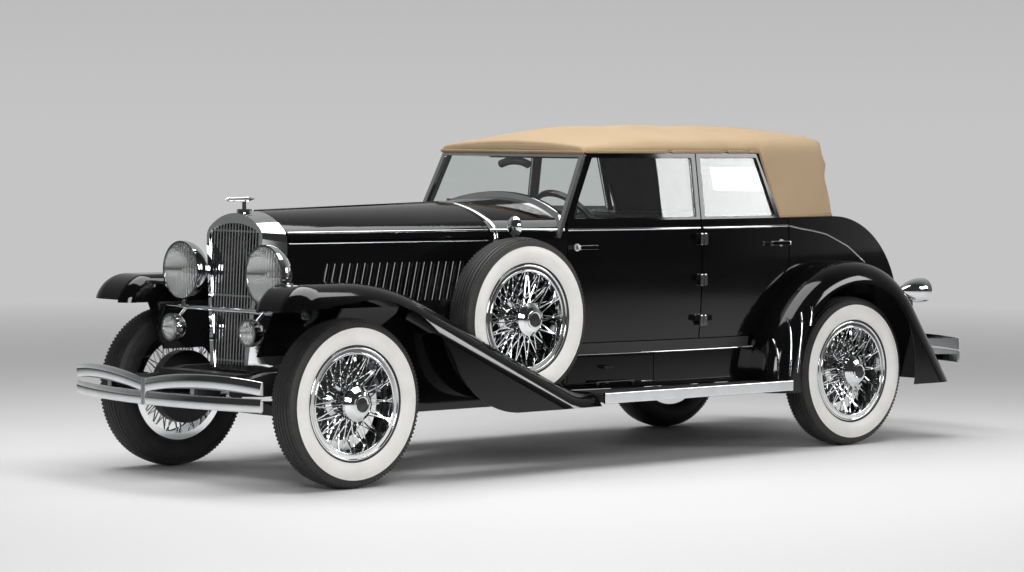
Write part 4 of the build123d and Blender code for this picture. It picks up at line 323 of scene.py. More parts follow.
LACQUER = Finish(
    "black_lacquer", (0.003, 0.003, 0.0035), (0.005, 0.005, 0.0055), 0.07, 0.12, 0.5, 3.0,
    coat=0.1, specular=0.4,
)
CHROME = Finish(
    "polished_chrome", (0.80, 0.81, 0.82), (0.68, 0.69, 0.70), 0.05, 0.12, 0.5, 9.0,
    metallic=1.0, grain=0.01, grain_scale=90.0,
)
RUBBER = Finish(
    "tyre_black", (0.018, 0.018, 0.018), (0.035, 0.034, 0.032), 0.55, 0.75, 0.6, 14.0,
    grain=0.25, grain_scale=260.0,
)
WHITEWALL = Finish(
    "whitewall", (0.80, 0.79, 0.76), (0.66, 0.64, 0.60), 0.42, 0.60, 0.45, 7.0,
    grain=0.12, grain_scale=180.0,
)
CANVAS = Finish(
    "tan_canvas", (0.52, 0.37, 0.215), (0.46, 0.325, 0.185), 0.80, 0.92, 0.5, 3.2,
    sheen=0.15, thread=210.0,
)
LINING = Finish("dark_lining", (0.05, 0.045, 0.04), (0.035, 0.03, 0.028), 0.85, 0.95, 0.5, 6.0, thread=260.0)
THREAD = Finish("seam_thread", (0.40, 0.28, 0.155), (0.33, 0.23, 0.13), 0.7, 0.85, 0.5, 90.0)
BINDING = Finish("edge_binding", (0.42, 0.295, 0.165), (0.36, 0.25, 0.14), 0.75, 0.9, 0.5, 12.0, thread=320.0)
LEATHER = Finish(
    "dark_leather", (0.028, 0.024, 0.021), (0.05, 0.042, 0.036), 0.38, 0.55, 0.6, 9.0,
    grain=0.35, grain_scale=320.0, cells=0.8,
)
DASH = Finish("satin_dash", (0.02, 0.02, 0.02), (0.032, 0.03, 0.028), 0.28, 0.42, 0.5, 8.0, grain=0.05)
CHASSIS = Finish(
    "chassis_black", (0.014, 0.014, 0.014), (0.03, 0.028, 0.026), 0.38, 0.6, 0.5, 6.0, grain=0.08,
)
CAST = Finish(
    "cast_grey", (0.10, 0.10, 0.098), (0.06, 0.058, 0.055), 0.5, 0.7, 0.6, 12.0, metallic=0.6, grain=0.3,
)
BOARD = Finish(
    "board_rubber_black", (0.02, 0.02, 0.02), (0.045, 0.043, 0.04), 0.5, 0.75, 0.6, 10.0, grain=0.2,
)
GLASS = Finish("clear_pane", (0.93, 0.96, 0.95), (0.90, 0.94, 0.93), 0.0, 0.02, 0.3, 4.0, transmission=1.0)
LENS = Finish(
    "lamp_lens", (0.92, 0.93, 0.92), (0.86, 0.88, 0.87), 0.03, 0.07, 0.3, 8.0,
    transmission=0.93, flute=16.0,
)
RED = Finish("tail_red", (0.35, 0.01, 0.01), (0.22, 0.008, 0.008), 0.12, 0.2, 0.4, 30.0, transmission=0.5)
STEEL = Finish("brushed_nickel", (0.62, 0.61, 0.59), (0.52, 0.51, 0.49), 0.2, 0.32, 0.5, 14.0, metallic=1.0)
ENAMEL = Finish("dark_enamel", (0.030, 0.028, 0.027), (0.020, 0.018, 0.017), 0.2, 0.32, 0.5, 60.0)
# Door-handle plate: rougher than the chrome, and with a lighter base than the chrome as painted highlight, so
# the levers look lit.
SATIN_PAINTED_HIGHLIGHT = Finish("satin_plate_painted_highlight", (0.86, 0.86, 0.85), (0.78, 0.78, 0.77), 0.36, 0.46, 0.4, 20.0, metallic=1.0)
BULB = Finish("bulb_glass", (0.9, 0.88, 0.82), (0.82, 0.8, 0.74), 0.1, 0.2, 0.4, 40.0)

SLOT_FINISH = {
    Slot.TYRE: RUBBER,
    Slot.CHROME: CHROME,
    Slot.PAINT: LACQUER,
    Slot.GLASS: GLASS,
    Slot.CANVAS: CANVAS,
    Slot.LEATHER: LEATHER,
    Slot.DASH: DASH,
    Slot.CHASSIS: CHASSIS,
    Slot.CAST: CAST,
    Slot.BOARD: BOARD,
}


# Mesh helpers


def make_object(name: str, verts: list, faces: list, finish: Finish, sharp: float = 35.0) -> bpy.types.Object:
    """Makes a linked mesh object with outward faces and smooth shading.

    Args:
        name: the piece's name.
        verts: vertex places in the row frame, in metres.
        faces: vertex numbers of each face.
        finish: the piece's finish.
        sharp: angle in degrees past which an edge stays sharp.

    Returns:
        The new object, at the origin.
    """
    mesh = bpy.data.meshes.new(name)
    mesh.from_pydata([tuple(v) for v in verts], [], faces)
    form = bmesh.new()
    form.from_mesh(mesh)
    bmesh.ops.remove_doubles(form, verts=form.verts, dist=1e-5)
    bmesh.ops.recalc_face_normals(form, faces=form.faces)
    form.to_mesh(mesh)
    form.free()
    mesh.polygons.foreach_set("use_smooth", [True] * len(mesh.polygons))
    mesh.set_sharp_from_angle(angle=math.radians(sharp))
    piece = bpy.data.objects.new(name, mesh)
    bpy.context.collection.objects.link(piece)
    mesh.materials.append(finish.material())
    return piece


def settle(piece: bpy.types.Object, body: str, slot: Slot, *nodes: str) -> bpy.types.Object:
    """Puts a piece on its body, in place of the CAD nodes that it stands for.

    Args:
        piece: the finished object.
        body: the CAD body that carries it.
        slot: the record's material slot; not used.
        nodes: CAD nodes that the piece replaces.

    Returns:
        The same object.
    """
    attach(piece, body)
    if nodes:
        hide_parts(*nodes)
    LOG.info("%s rides on %s", piece.name, body)
    return piece


def frames_along(path: list[Vector], normals: list[Vector]) -> list[tuple[Vector, Vector, Vector]]:
    """Gives each point of a path with its surface normal and sideways direction.

    Args:
        path: points of the path.
        normals: surface normals there.

    Returns:
        For each point: place, sideways direction, normal.
    """
    rows = []
    last = len(path) - 1
    for number, (point, normal) in enumerate(zip(path, normals)):
        ahead = path[min(number + 1, last)] - path[max(number - 1, 0)]
        across = ahead.cross(normal).normalized()
        rows.append((point, across, across.cross(ahead).normalized()))
    return rows


def strips(
    name: str,
    lines: list[tuple[list[Vector], list[Vector]]],
    section: list[tuple[float, float]],
    finish: Finish,
) -> bpy.types.Object:
    """Sweeps a closed section along some paths on a surface, with closed ends.

    Args:
        name: the piece's name.
        lines: for each path, its points and the outward surface normals there.
        section: points (across, out) of the section, in order.
        finish: the strips' finish.

    Returns:
        The new object.
    """
    verts, faces = [], []
    size = len(section)
    for path, normals in lines:
        first = len(verts)
        for point, across, out in frames_along(path, normals):
            verts.extend(point + across * a + out * b for a, b in section)
        for start in range(first, len(verts) - size, size):
            for col in range(size):
                after = (col + 1) % size
                faces.append((start + col, start + after, start + size + after, start + size + col))
        faces.append(tuple(range(first, first + size)))
        faces.append(tuple(range(len(verts) - size, len(verts))))
    return make_object(name, verts, faces, finish)


def strip(
    name: str,
    path: list[Vector],
    normals: list[Vector],
    section: list[tuple[float, float]],
    finish: Finish,
) -> bpy.types.Object:
    """Sweeps a closed section along one path, as strips does along many."""
    return strips(name, [(path, normals)], section, finish)


def half_round(width: float, height: float, sink: float = 0.002, steps: int = 6) -> list[tuple[float, float]]:
    """Section of a half-round moulding, sunk a little into what it sits on."""
    arc = [math.pi * n / steps for n in range(steps + 1)]
    rim = [(math.cos(a) * width / 2, math.sin(a) * height) for a in arc]
    return [(width / 2, -sink), *rim, (-width / 2, -sink)]


def round_section(radius: float, steps: int = 10) -> list[tuple[float, float]]:
    """Section of a round bar."""
    turns = [math.tau * n / steps for n in range(steps)]
    return [(math.cos(a) * radius, math.sin(a) * radius) for a in turns]


def rounded_section(half_a: float, half_b: float, radius: float, steps: int = 4) -> list[tuple[float, float]]:
    """Section of a rectangular bar with rounded corners."""
    section = []
    for corner, (a, b) in enumerate(((1, 1), (-1, 1), (-1, -1), (1, -1))):
        for step in range(steps + 1):
            angle = math.pi / 2 * (corner + step / steps)
            middle = (a * (half_a - radius), b * (half_b - radius))
            section.append((middle[0] + math.cos(angle) * radius, middle[1] + math.sin(angle) * radius))
    return section


def arc_through(start: tuple, middle: tuple, end: tuple, count: int) -> list[tuple[float, float]]:
    """Points of the circular arc through three plane points.

    Args:
        start: first point of the arc.
        middle: a point on the way.
        end: last point of the arc.
        count: how many points to give.

    Returns:
        The points, in order.
    """
    a, b, c = (complex(*point) for point in (start, middle, end))
    span = (c - a) / (b - a)
    centre = a + (b - a) * (span - abs(span) ** 2) / (2j * span.imag)
    first = math.atan2((a - centre).imag, (a - centre).real)
    turn = math.remainder(math.atan2((c - centre).imag, (c - centre).real) - first, math.tau)
    radius = abs(a - centre)
    angles = [first + turn * n / (count - 1) for n in range(count)]
    return [(centre.real + math.cos(t) * radius, centre.imag + math.sin(t) * radius) for t in angles]


def joint_place(name: str) -> Vector:
    """Where a joint of the record stands."""
    joints = FRAME["record"]["behaviour"]["joints"]
    return Vector(next(joint["pos_m"] for joint in joints if joint["name"] == name))


def lathe(
    name: str,
    profile: list[tuple[float, float]],
    centre: Vector,
    axis: Vector,
    finish: Finish,
    segments: int = 48,
) -> bpy.types.Object:
    """Turns a profile about an axis.

    Args:
        name: the piece's name.
        profile: points (radius, distance along the axis), closed onto itself.
        centre: a point on the axis.
        axis: the axis's direction.
        finish: the finish.
        segments: steps round the axis.

    Returns:
        The new object.
    """
    turn = Vector((0, 0, 1)).rotation_difference(axis.normalized()).to_matrix()
    verts, faces = [], []
    size = len(profile)
    for step in range(segments):
        angle = math.tau * step / segments
        for radius, along in profile:
            local = Vector((radius * math.cos(angle), radius * math.sin(angle), along))
            verts.append(centre + turn @ local)
    for step in range(segments):
        here, there = step * size, (step + 1) % segments * size
        for col in range(size):
            after = (col + 1) % size
            faces.append((here + col, here + after, there + after, there + col))
    return make_object(name, verts, faces, finish)


class Skin:
    """Outer surface of some CAD nodes, found by rays."""

    def __init__(self, *nodes: str) -> None:
        """Gathers the nodes' faces.

        Args:
            nodes: CAD node names.
        """
        places: list[Vector] = []
        faces: list[tuple[int, ...]] = []
        for node in nodes:
            mesh = FRAME["nodes"][node].data
            first = len(places)
            places.extend(vert.co.copy() for vert in mesh.vertices)
            faces.extend(tuple(first + v for v in face.vertices) for face in mesh.polygons)
        self.tree = BVHTree.FromPolygons(places, faces)

    def cast(self, start: Vector, way: Vector) -> tuple[Vector, Vector] | None:
        """First hit of a ray.

        Args:
            start: where the ray starts.
            way: its direction.

        Returns:
            The place and outward normal, or None.
        """
        place, normal, _, _ = self.tree.ray_cast(start, way)
        if place is None:
            return None
        if normal.dot(way) > 0:
            normal = -normal
        return place, normal

    def side(self, x: float, z: float, sign: int) -> tuple[Vector, Vector] | None:
        """Hit of a ray that comes straight from one side."""
        return self.cast(Vector((x, sign * RAY_START, z)), Vector((0, -sign, 0)))

    def side_path(self, points: list[tuple[float, float]], sign: int) -> tuple[list[Vector], list[Vector]]:
        """Side-view points laid on the surface.

        Args:
            points: (x, z) places in side view.
            sign: 1 for the left side, -1 for the right.

        Returns:
            The places that hit, and their normals.
        """
        hits = [hit for hit in (self.side(x, z, sign) for x, z in points) if hit]
        return [hit[0] for hit in hits], [hit[1] for hit in hits]


def stations(start: float, end: float, count: int) -> list[float]:
    """Evenly spaced values from start to end."""
    return [start + (end - start) * n / (count - 1) for n in range(count)]


# Geometry node trees


def geometry_tree(name: str, inputs: dict[str, tuple[str, object]]) -> bpy.types.NodeTree:
    """Makes a geometry node tree with named inputs.

    Args:
        name: the tree's name.
        inputs: socket name to (short socket type, default value or None).

    Returns:
        The new tree.
    """
    tree = bpy.data.node_groups.new(name, "GeometryNodeTree")
    tree.interface.new_socket("Geometry", in_out="INPUT", socket_type="NodeSocketGeometry")
    for label, (kind, value) in inputs.items():
        socket = tree.interface.new_socket(label, in_out="INPUT", socket_type=f"NodeSocket{kind}")
        if value is not None:
            socket.default_value = value
    tree.interface.new_socket("Geometry", in_out="OUTPUT", socket_type="NodeSocketGeometry")
    tree.nodes.new("NodeGroupInput").name = "in"
    tree.nodes.new("NodeGroupOutput").name = "out"
    return tree


def finish_tree(tree: bpy.types.NodeTree, last: bpy.types.NodeSocket) -> bpy.types.NodeTree:
    """Ends a tree in Realize Instances and Set Material."""
    real = tree.nodes.new("GeometryNodeRealizeInstances")
    paint = tree.nodes.new("GeometryNodeSetMaterial")
    tree.links.new(last, real.inputs[0])
    tree.links.new(real.outputs[0], paint.inputs["Geometry"])
    tree.links.new(tree.nodes["in"].outputs["Material"], paint.inputs["Material"])
    tree.links.new(paint.outputs[0], tree.nodes["out"].inputs[0])
    return tree


def along_path_tree() -> bpy.types.NodeTree:
    """Tree that repeats a small block along a path: stitches and tread lugs."""
    tree = geometry_tree(
        "blocks_along_path",
        {
            "Spacing": ("Float", 0.01),
            "Block": ("Vector", (0.006, 0.002, 0.0015)),
            "Material": ("Material", None),
        },
    )
    nodes, links = tree.nodes, tree.links
    curve = nodes.new("GeometryNodeMeshToCurve")
    points = nodes.new("GeometryNodeCurveToPoints")
    points.mode = "LENGTH"
    block = nodes.new("GeometryNodeMeshCube")
    copies = nodes.new("GeometryNodeInstanceOnPoints")
    links.new(nodes["in"].outputs["Geometry"], curve.inputs["Mesh"])
    links.new(curve.outputs["Curve"], points.inputs["Curve"])
    links.new(nodes["in"].outputs["Spacing"], points.inputs["Length"])
    links.new(nodes["in"].outputs["Block"], block.inputs["Size"])
    links.new(points.outputs["Points"], copies.inputs["Points"])
    links.new(points.outputs["Rotation"], copies.inputs["Rotation"])
    links.new(block.outputs["Mesh"], copies.inputs["Instance"])
    return finish_tree(tree, copies.outputs["Instances"])


BLOCKS = along_path_tree()


def grown(
    name: str,
    tree: bpy.types.NodeTree,
    base: bpy.types.Mesh,
    values: dict[str, object],
) -> bpy.types.Object:
    """Runs a geometry node tree on a mesh and keeps the result as a plain mesh.

    Args:
        name: the piece's name.
        tree: the geometry node tree.
        base: the mesh that it starts from.
        values: input name to value.

    Returns:
        The new object.
    """
    holder = bpy.data.objects.new(f"{name}_base", base)
    bpy.context.collection.objects.link(holder)
    modifier = holder.modifiers.new("grow", "NODES")
    modifier.node_group = tree
    sockets = {item.name: item.identifier for item in tree.interface.items_tree if item.in_out == "INPUT"}
    for label, value in values.items():
        modifier[sockets[label]] = value
    evaluated = holder.evaluated_get(bpy.context.evaluated_depsgraph_get())
    mesh = bpy.data.meshes.new_from_object(evaluated)
    bpy.data.objects.remove(holder)
    mesh.name = name
    piece = bpy.data.objects.new(name, mesh)
    bpy.context.collection.objects.link(piece)
    return piece


def path_mesh(name: str, paths: list[list[Vector]], closed: bool = False) -> bpy.types.Mesh:
    """Mesh of edges that follow some paths."""
    verts, edges = [], []
    for path in paths:
        first = len(verts)
        verts.extend(tuple(p) for p in path)
        edges.extend((first + n, first + n + 1) for n in range(len(path) - 1))
        if closed:
            edges.append((first + len(path) - 1, first))
    mesh = bpy.data.meshes.new(name)
    mesh.from_pydata(verts, edges, [])
    return mesh


# Sub-assemblies


@dataclass
class Tyres:
    """Six tyres with whitewalls, grooved treads and lugged shoulders."""

    wall_low: float = 0.2895
    wall_high: float = 0.3745
    wall_half: float = 0.06
    lug_radius: float = 0.4064
    lug_half: float = 0.0655
    lug_spacing: float = 0.021
    lug: tuple[float, float, float] = (0.0095, 0.0095, 0.011)
    round_steps: int = 96
    spare_z: float = 0.797

    def profile(self) -> list[tuple[float, float]]:
        """Closed tyre section as (radius, distance from the middle plane)."""
        half = [
            (0.2626, 0.0590),
            (0.2800, 0.0595),
            (0.2880, 0.0690),
            (0.2900, 0.0735),
            (0.3000, 0.0815),
            (0.3180, 0.0890),
            (0.3390, 0.0918),
            (0.3580, 0.0895),
            (0.3740, 0.0848),
            (0.3752, 0.0868),
            (0.3790, 0.0860),
            (0.3805, 0.0830),
            (0.3930, 0.0775),
            (0.4030, 0.0720),
            (0.4090, 0.0640),
            (0.4130, 0.0560),
            (0.4065, 0.0545),
            (0.4065, 0.0500),
            (0.4150, 0.0485),
            (0.4175, 0.0340),
            (0.4100, 0.0328),
            (0.4100, 0.0280),
            (0.4185, 0.0268),
            (0.4195, 0.0140),
            (0.4120, 0.0128),
            (0.4120, 0.0080),
            (0.4200, 0.0068),
        ]
        return [*half, *[(radius, -along) for radius, along in reversed(half)]]

    def tyre(self, name: str, centre: Vector, sign: int) -> bpy.types.Object:
        """Turns one tyre and whitens its outer wall.

        Args:
            name: the piece's name.
            centre: the wheel's middle.
            sign: 1 where the outer side faces +Y.

        Returns:
            The tyre.
        """
        piece = lathe(name, self.profile(), centre, Vector((0, 1, 0)), RUBBER, self.round_steps)
        piece.data.materials.append(WHITEWALL.material())
        for face in piece.data.polygons:
            spot = face.center - centre
            radius = math.hypot(spot.x, spot.z)
            if self.wall_low < radius < self.wall_high and spot.y * sign > self.wall_half:
                face.material_index = 1
        return piece

    def lugs(self, name: str, centre: Vector) -> bpy.types.Object:
        """Grows the shoulder lugs of one tyre."""
        turns = [math.tau * n / self.round_steps for n in range(self.round_steps)]
        circle = [(math.cos(a) * self.lug_radius, math.sin(a) * self.lug_radius) for a in turns]
        rings = []
        for side in (-1, 1):
            rings.append([centre + Vector((x, side * self.lug_half, z)) for x, z in circle])
        base = path_mesh(f"{name}_rings", rings, closed=True)
        values = {"Spacing": self.lug_spacing, "Block": self.lug, "Material": RUBBER.material()}
        return grown(name, BLOCKS, base, values)

    def build(self) -> None:
        """Makes and settles all six tyres."""
        for corner in CORNERS:
            place, side = corner.split("_")
            centre = Vector((AXLE_X[place], SIDES[side] * WHEEL_Y, AXLE_Z))
            body = f"road_wheel_{corner}"
            tyre = self.tyre(f"tyre_{corner}_dressed", centre, SIDES[side])
            settle(tyre, body, Slot.TYRE, f"tyre_{corner}")
            settle(self.lugs(f"tread_lugs_{corner}", centre), body, Slot.TYRE)
        for side, sign in SIDES.items():
            centre = Vector((SPARE_X, sign * WHEEL_Y, self.spare_z))
            settle(self.tyre(f"spare_tyre_{side}", centre, sign), CAR, Slot.TYRE)
            settle(self.lugs(f"spare_lugs_{side}", centre), CAR, Slot.TYRE)
        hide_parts("spare_tyres")


@dataclass
class SoftTop:
    """The raised canvas top: one stretched sheet with stitched bindings."""

    front_x: float = 0.286
    turn_x: float = -1.0
    axis_z: float = 1.2915
    front_rows: int = 44
    fan_rows: int = 44
    columns: int = 61
    proud: float = 0.003
    sag: float = 0.007
    bows: tuple[float, ...] = (0.29, -0.17, -0.62, -1.06)
    fan_degrees: float = 89.8
    search_step: float = 1.5
    search_end: float = 88.0
    search_halvings: int = 16
    ray_length: float = 1.98
    window_half: float = 0.322
    window_low: float = 1.425
    window_high: float = 1.545
    window_behind: float = -1.4
    cloth: float = 0.004
    header_x: float = 0.2995
    header_z: float = 1.6505
    fascia_rows: int = 5
    binding: tuple[float, float, float] = (0.018, 0.004, 0.003)
    stitch: tuple[float, float, float] = (0.0016, 0.0016, 0.007)
    stitch_spacing: float = 0.011
    stitch_out: float = 0.0042

    def rows(self) -> list[tuple[Vector, Vector]]:
        """Origin and outward direction of each section, front to foot of the back curtain."""
        steps = stations(self.front_x, self.turn_x, self.front_rows)
        front = [(Vector((x, 0, self.axis_z)), Vector((0, 0, 1))) for x in steps]
        middle = Vector((self.turn_x, 0, self.axis_z))
        turns = stations(0, math.radians(self.fan_degrees), self.fan_rows)[1:]
        return front + [(middle, Vector((-math.sin(a), 0, math.cos(a)))) for a in turns]

    def hit(self, skin: Skin, origin: Vector, out: Vector, angle: float) -> tuple[Vector, Vector] | None:
        """Outer surface met by a ray that points back at a section's origin."""
        way = out * math.cos(angle) + Vector((0, math.sin(angle), 0))
        place, normal, _, _ = skin.tree.ray_cast(origin + way * RAY_START, -way, self.ray_length)
        if place is None:
            return None
        return place, normal if normal.dot(way) > 0 else -normal

    def limit(self, skin: Skin, origin: Vector, out: Vector) -> float:
        """Largest angle from the middle at which a section still meets the cloth."""
        step = math.radians(self.search_step)
        low = 0.0
        while low < math.radians(self.search_end) and self.hit(skin, origin, out, low + step):
            low += step
        high = low + step
        for _ in range(self.search_halvings):
            middle = (low + high) / 2
            if self.hit(skin, origin, out, middle):
                low = middle
            else:
                high = middle
        return low

    def slack(self, place: Vector, normal: Vector) -> float:
        """How far the cloth sinks between two bows at a place on the roof."""
        for ahead, behind in zip(self.bows, self.bows[1:]):
            if behind <= place.x <= ahead:
                share = (place.x - behind) / (ahead - behind)
                return self.sag * math.sin(math.pi * share) ** 2 * max(normal.z, 0) ** 2
        return 0.0

    def grid(self) -> tuple[list[list[Vector]], list[list[Vector]]]:
        """Places and normals of the whole sheet, row by row."""
        skin = Skin("soft_top", "fixed_glass")
        places, normals = [], []
        for origin, out in self.rows():
            edge = self.limit(skin, origin, out)
            line = [self.hit(skin, origin, out, angle) for angle in stations(-edge, edge, self.columns)]
            known = [pair for pair in line if pair]
            row = [pair or known[0] for pair in line]
            normals.append([normal for _, normal in row])
            places.append([p + n * (self.proud - self.slack(p, n)) for p, n in row])
        return self.fascia(places[0]) + places, self.fascia_normals() + normals

    def fascia(self, edge: list[Vector]) -> list[list[Vector]]:
        """Rows that turn the cloth down from its arched front edge onto the straight header."""
        rows = []
        for share in stations(0, 1, self.fascia_rows + 1)[:-1]:
            ease = math.sin(share * math.pi / 2)
            row = []
            for spot in edge:
                x = self.header_x + (spot.x - self.header_x) * share**3
                z = self.header_z + (spot.z - self.header_z) * ease
                row.append(Vector((x, spot.y, z)))
            rows.append(row)
        return rows

    def fascia_normals(self) -> list[list[Vector]]:
        """Outward directions of the down-turned rows."""
        turns = stations(0, math.pi / 3, self.fascia_rows)
        return [[Vector((math.cos(t), 0, math.sin(t)))] * self.columns for t in turns]

    def in_window(self, spot: Vector) -> bool:
        """Whether a place lies in the back curtain's window."""
        high_enough = self.window_low < spot.z < self.window_high
        return spot.x < self.window_behind and abs(spot.y) < self.window_half and high_enough

    def build(self) -> None:
        """Makes the sheet and its trim, and settles them."""
        places, normals = self.grid()
        verts = [p for row in places for p in row]
        faces = []
        for row in range(len(places) - 1):
            for col in range(self.columns - 1):
                first = row * self.columns + col
                face = (first, first + 1, first + self.columns + 1, first + self.columns)
                if not self.in_window(sum((verts[n] for n in face), Vector()) / 4):
                    faces.append(face)
        sheet = make_object("canvas_top", verts, faces, CANVAS, 60)
        sheet.data.materials.append(LINING.material())
        thick = sheet.modifiers.new("cloth", "SOLIDIFY")
        thick.thickness = self.cloth
        thick.offset = -1
        thick.material_offset = 1
        settle(sheet, CAR, Slot.CANVAS, "soft_top")
        trims = self.trims(places, normals)

    def trims(self, places: list[list[Vector]], normals: list[list[Vector]]) -> list[bpy.types.Object]:
        """Bindings along the edges, and their stitches.

        Args:
            places: the sheet's places, row by row.
            normals: the normals there.

        Returns:
            The trim pieces.
        """
        edges = {
            "left": [(row[-1], norm[-1]) for row, norm in zip(places, normals)],
            "right": [(row[0], norm[0]) for row, norm in zip(places, normals)],
            "front": list(zip(places[0], normals[0])),
            "foot": list(zip(places[-1], normals[-1])),
        }
        trims = []
        stitched = []
        for label, line in edges.items():
            path, out = [p for p, _ in line], [n for _, n in line]
            trims.append(strip(f"top_binding_{label}", path, out, half_round(*self.binding), BINDING))
            stitched.append([p + n * self.stitch_out for p, _, n in frames_along(path, out)])
        base = path_mesh("stitch_paths", stitched)
        values = {"Spacing": self.stitch_spacing, "Block": self.stitch, "Material": THREAD.material()}
        trims.append(grown("top_stitches", BLOCKS, base, values))
        for piece in trims:
            settle(piece, CAR, Slot.CANVAS)
        return trims


@dataclass
class Cushion:
    """One pleated leather cushion: a crowned closed form."""

    name: str
    low: tuple[float, float, float]
    high: tuple[float, float, float]
    lean: float
    pleats: int
    face_axis: int
    cuts: int = 30
    fullness: float = 5.0
    pleat_depth: float = 0.010
    pleat_steep: float = 2.2

    def build(self) -> bpy.types.Object:
        """Makes the cushion and returns it."""
        form = bmesh.new()
        bmesh.ops.create_cube(form, size=2)
        bmesh.ops.subdivide_edges(form, edges=form.edges[:], cuts=self.cuts, use_grid_fill=True)
        middle = (Vector(self.low) + Vector(self.high)) / 2
        half = (Vector(self.high) - Vector(self.low)) / 2
        for vert in form.verts:
            spot = vert.co.copy()
            length = sum(abs(c) ** self.fullness for c in spot) ** (1 / self.fullness)
            spot /= length
            crown = spot[self.face_axis]
            channel = abs(math.sin(math.pi * self.pleats * (spot.y + 1) / 2))
            dip = self.pleat_depth * (1 - min(channel * self.pleat_steep, 1) ** 0.5) * max(crown, 0)
            place = Vector((spot.x * half.x, spot.y * half.y, spot.z * half.z))
            place[self.face_axis] -= dip
            place.x -= self.lean * (spot.z + 1) / 2
            vert.co = middle + place
        mesh = bpy.data.meshes.new(self.name)
        form.to_mesh(mesh)
        form.free()
        mesh.polygons.foreach_set("use_smooth", [True] * len(mesh.polygons))
        piece = bpy.data.objects.new(self.name, mesh)
        bpy.context.collection.objects.link(piece)
        mesh.materials.append(LEATHER.material())
        return piece


@dataclass
class Seats:
    """Front and rear benches in pleated leather."""

    half: float = 0.49
    pleats: int = 11
    facing_ahead: int = 0
    facing_up: int = 2

    def cushion(self, name: str, x: tuple, z: tuple, lean: float, face_axis: int) -> Cushion:
        """One cushion that spans the cabin.

        Args:
            name: the piece's name.
            x: where it starts and ends along the car.
            z: where it starts and ends in height.
            lean: how far its top leans back.
            face_axis: the axis that its pleated face looks along.

        Returns:
            The cushion, not built yet.
        """
        low = (x[0], -self.half, z[0])
        high = (x[1], self.half, z[1])
        return Cushion(name, low, high, lean, self.pleats, face_axis)

    def build(self) -> None:
        """Makes and settles the four cushions."""
        cushions = [
            self.cushion("front_cushion", (-0.555, -0.005), (0.625, 0.90), 0.0, self.facing_up),
            self.cushion("front_backrest", (-0.575, -0.445), (0.82, 1.30), 0.06, self.facing_ahead),
            self.cushion("rear_cushion", (-1.47, -0.945), (0.625, 0.94), 0.0, self.facing_up),
            self.cushion("rear_backrest", (-1.485, -1.355), (0.86, 1.285), 0.08, self.facing_ahead),
        ]
        pieces = [cushion.build() for cushion in cushions]
        for piece in pieces:
            settle(piece, CAR, Slot.LEATHER)
        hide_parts("seats")


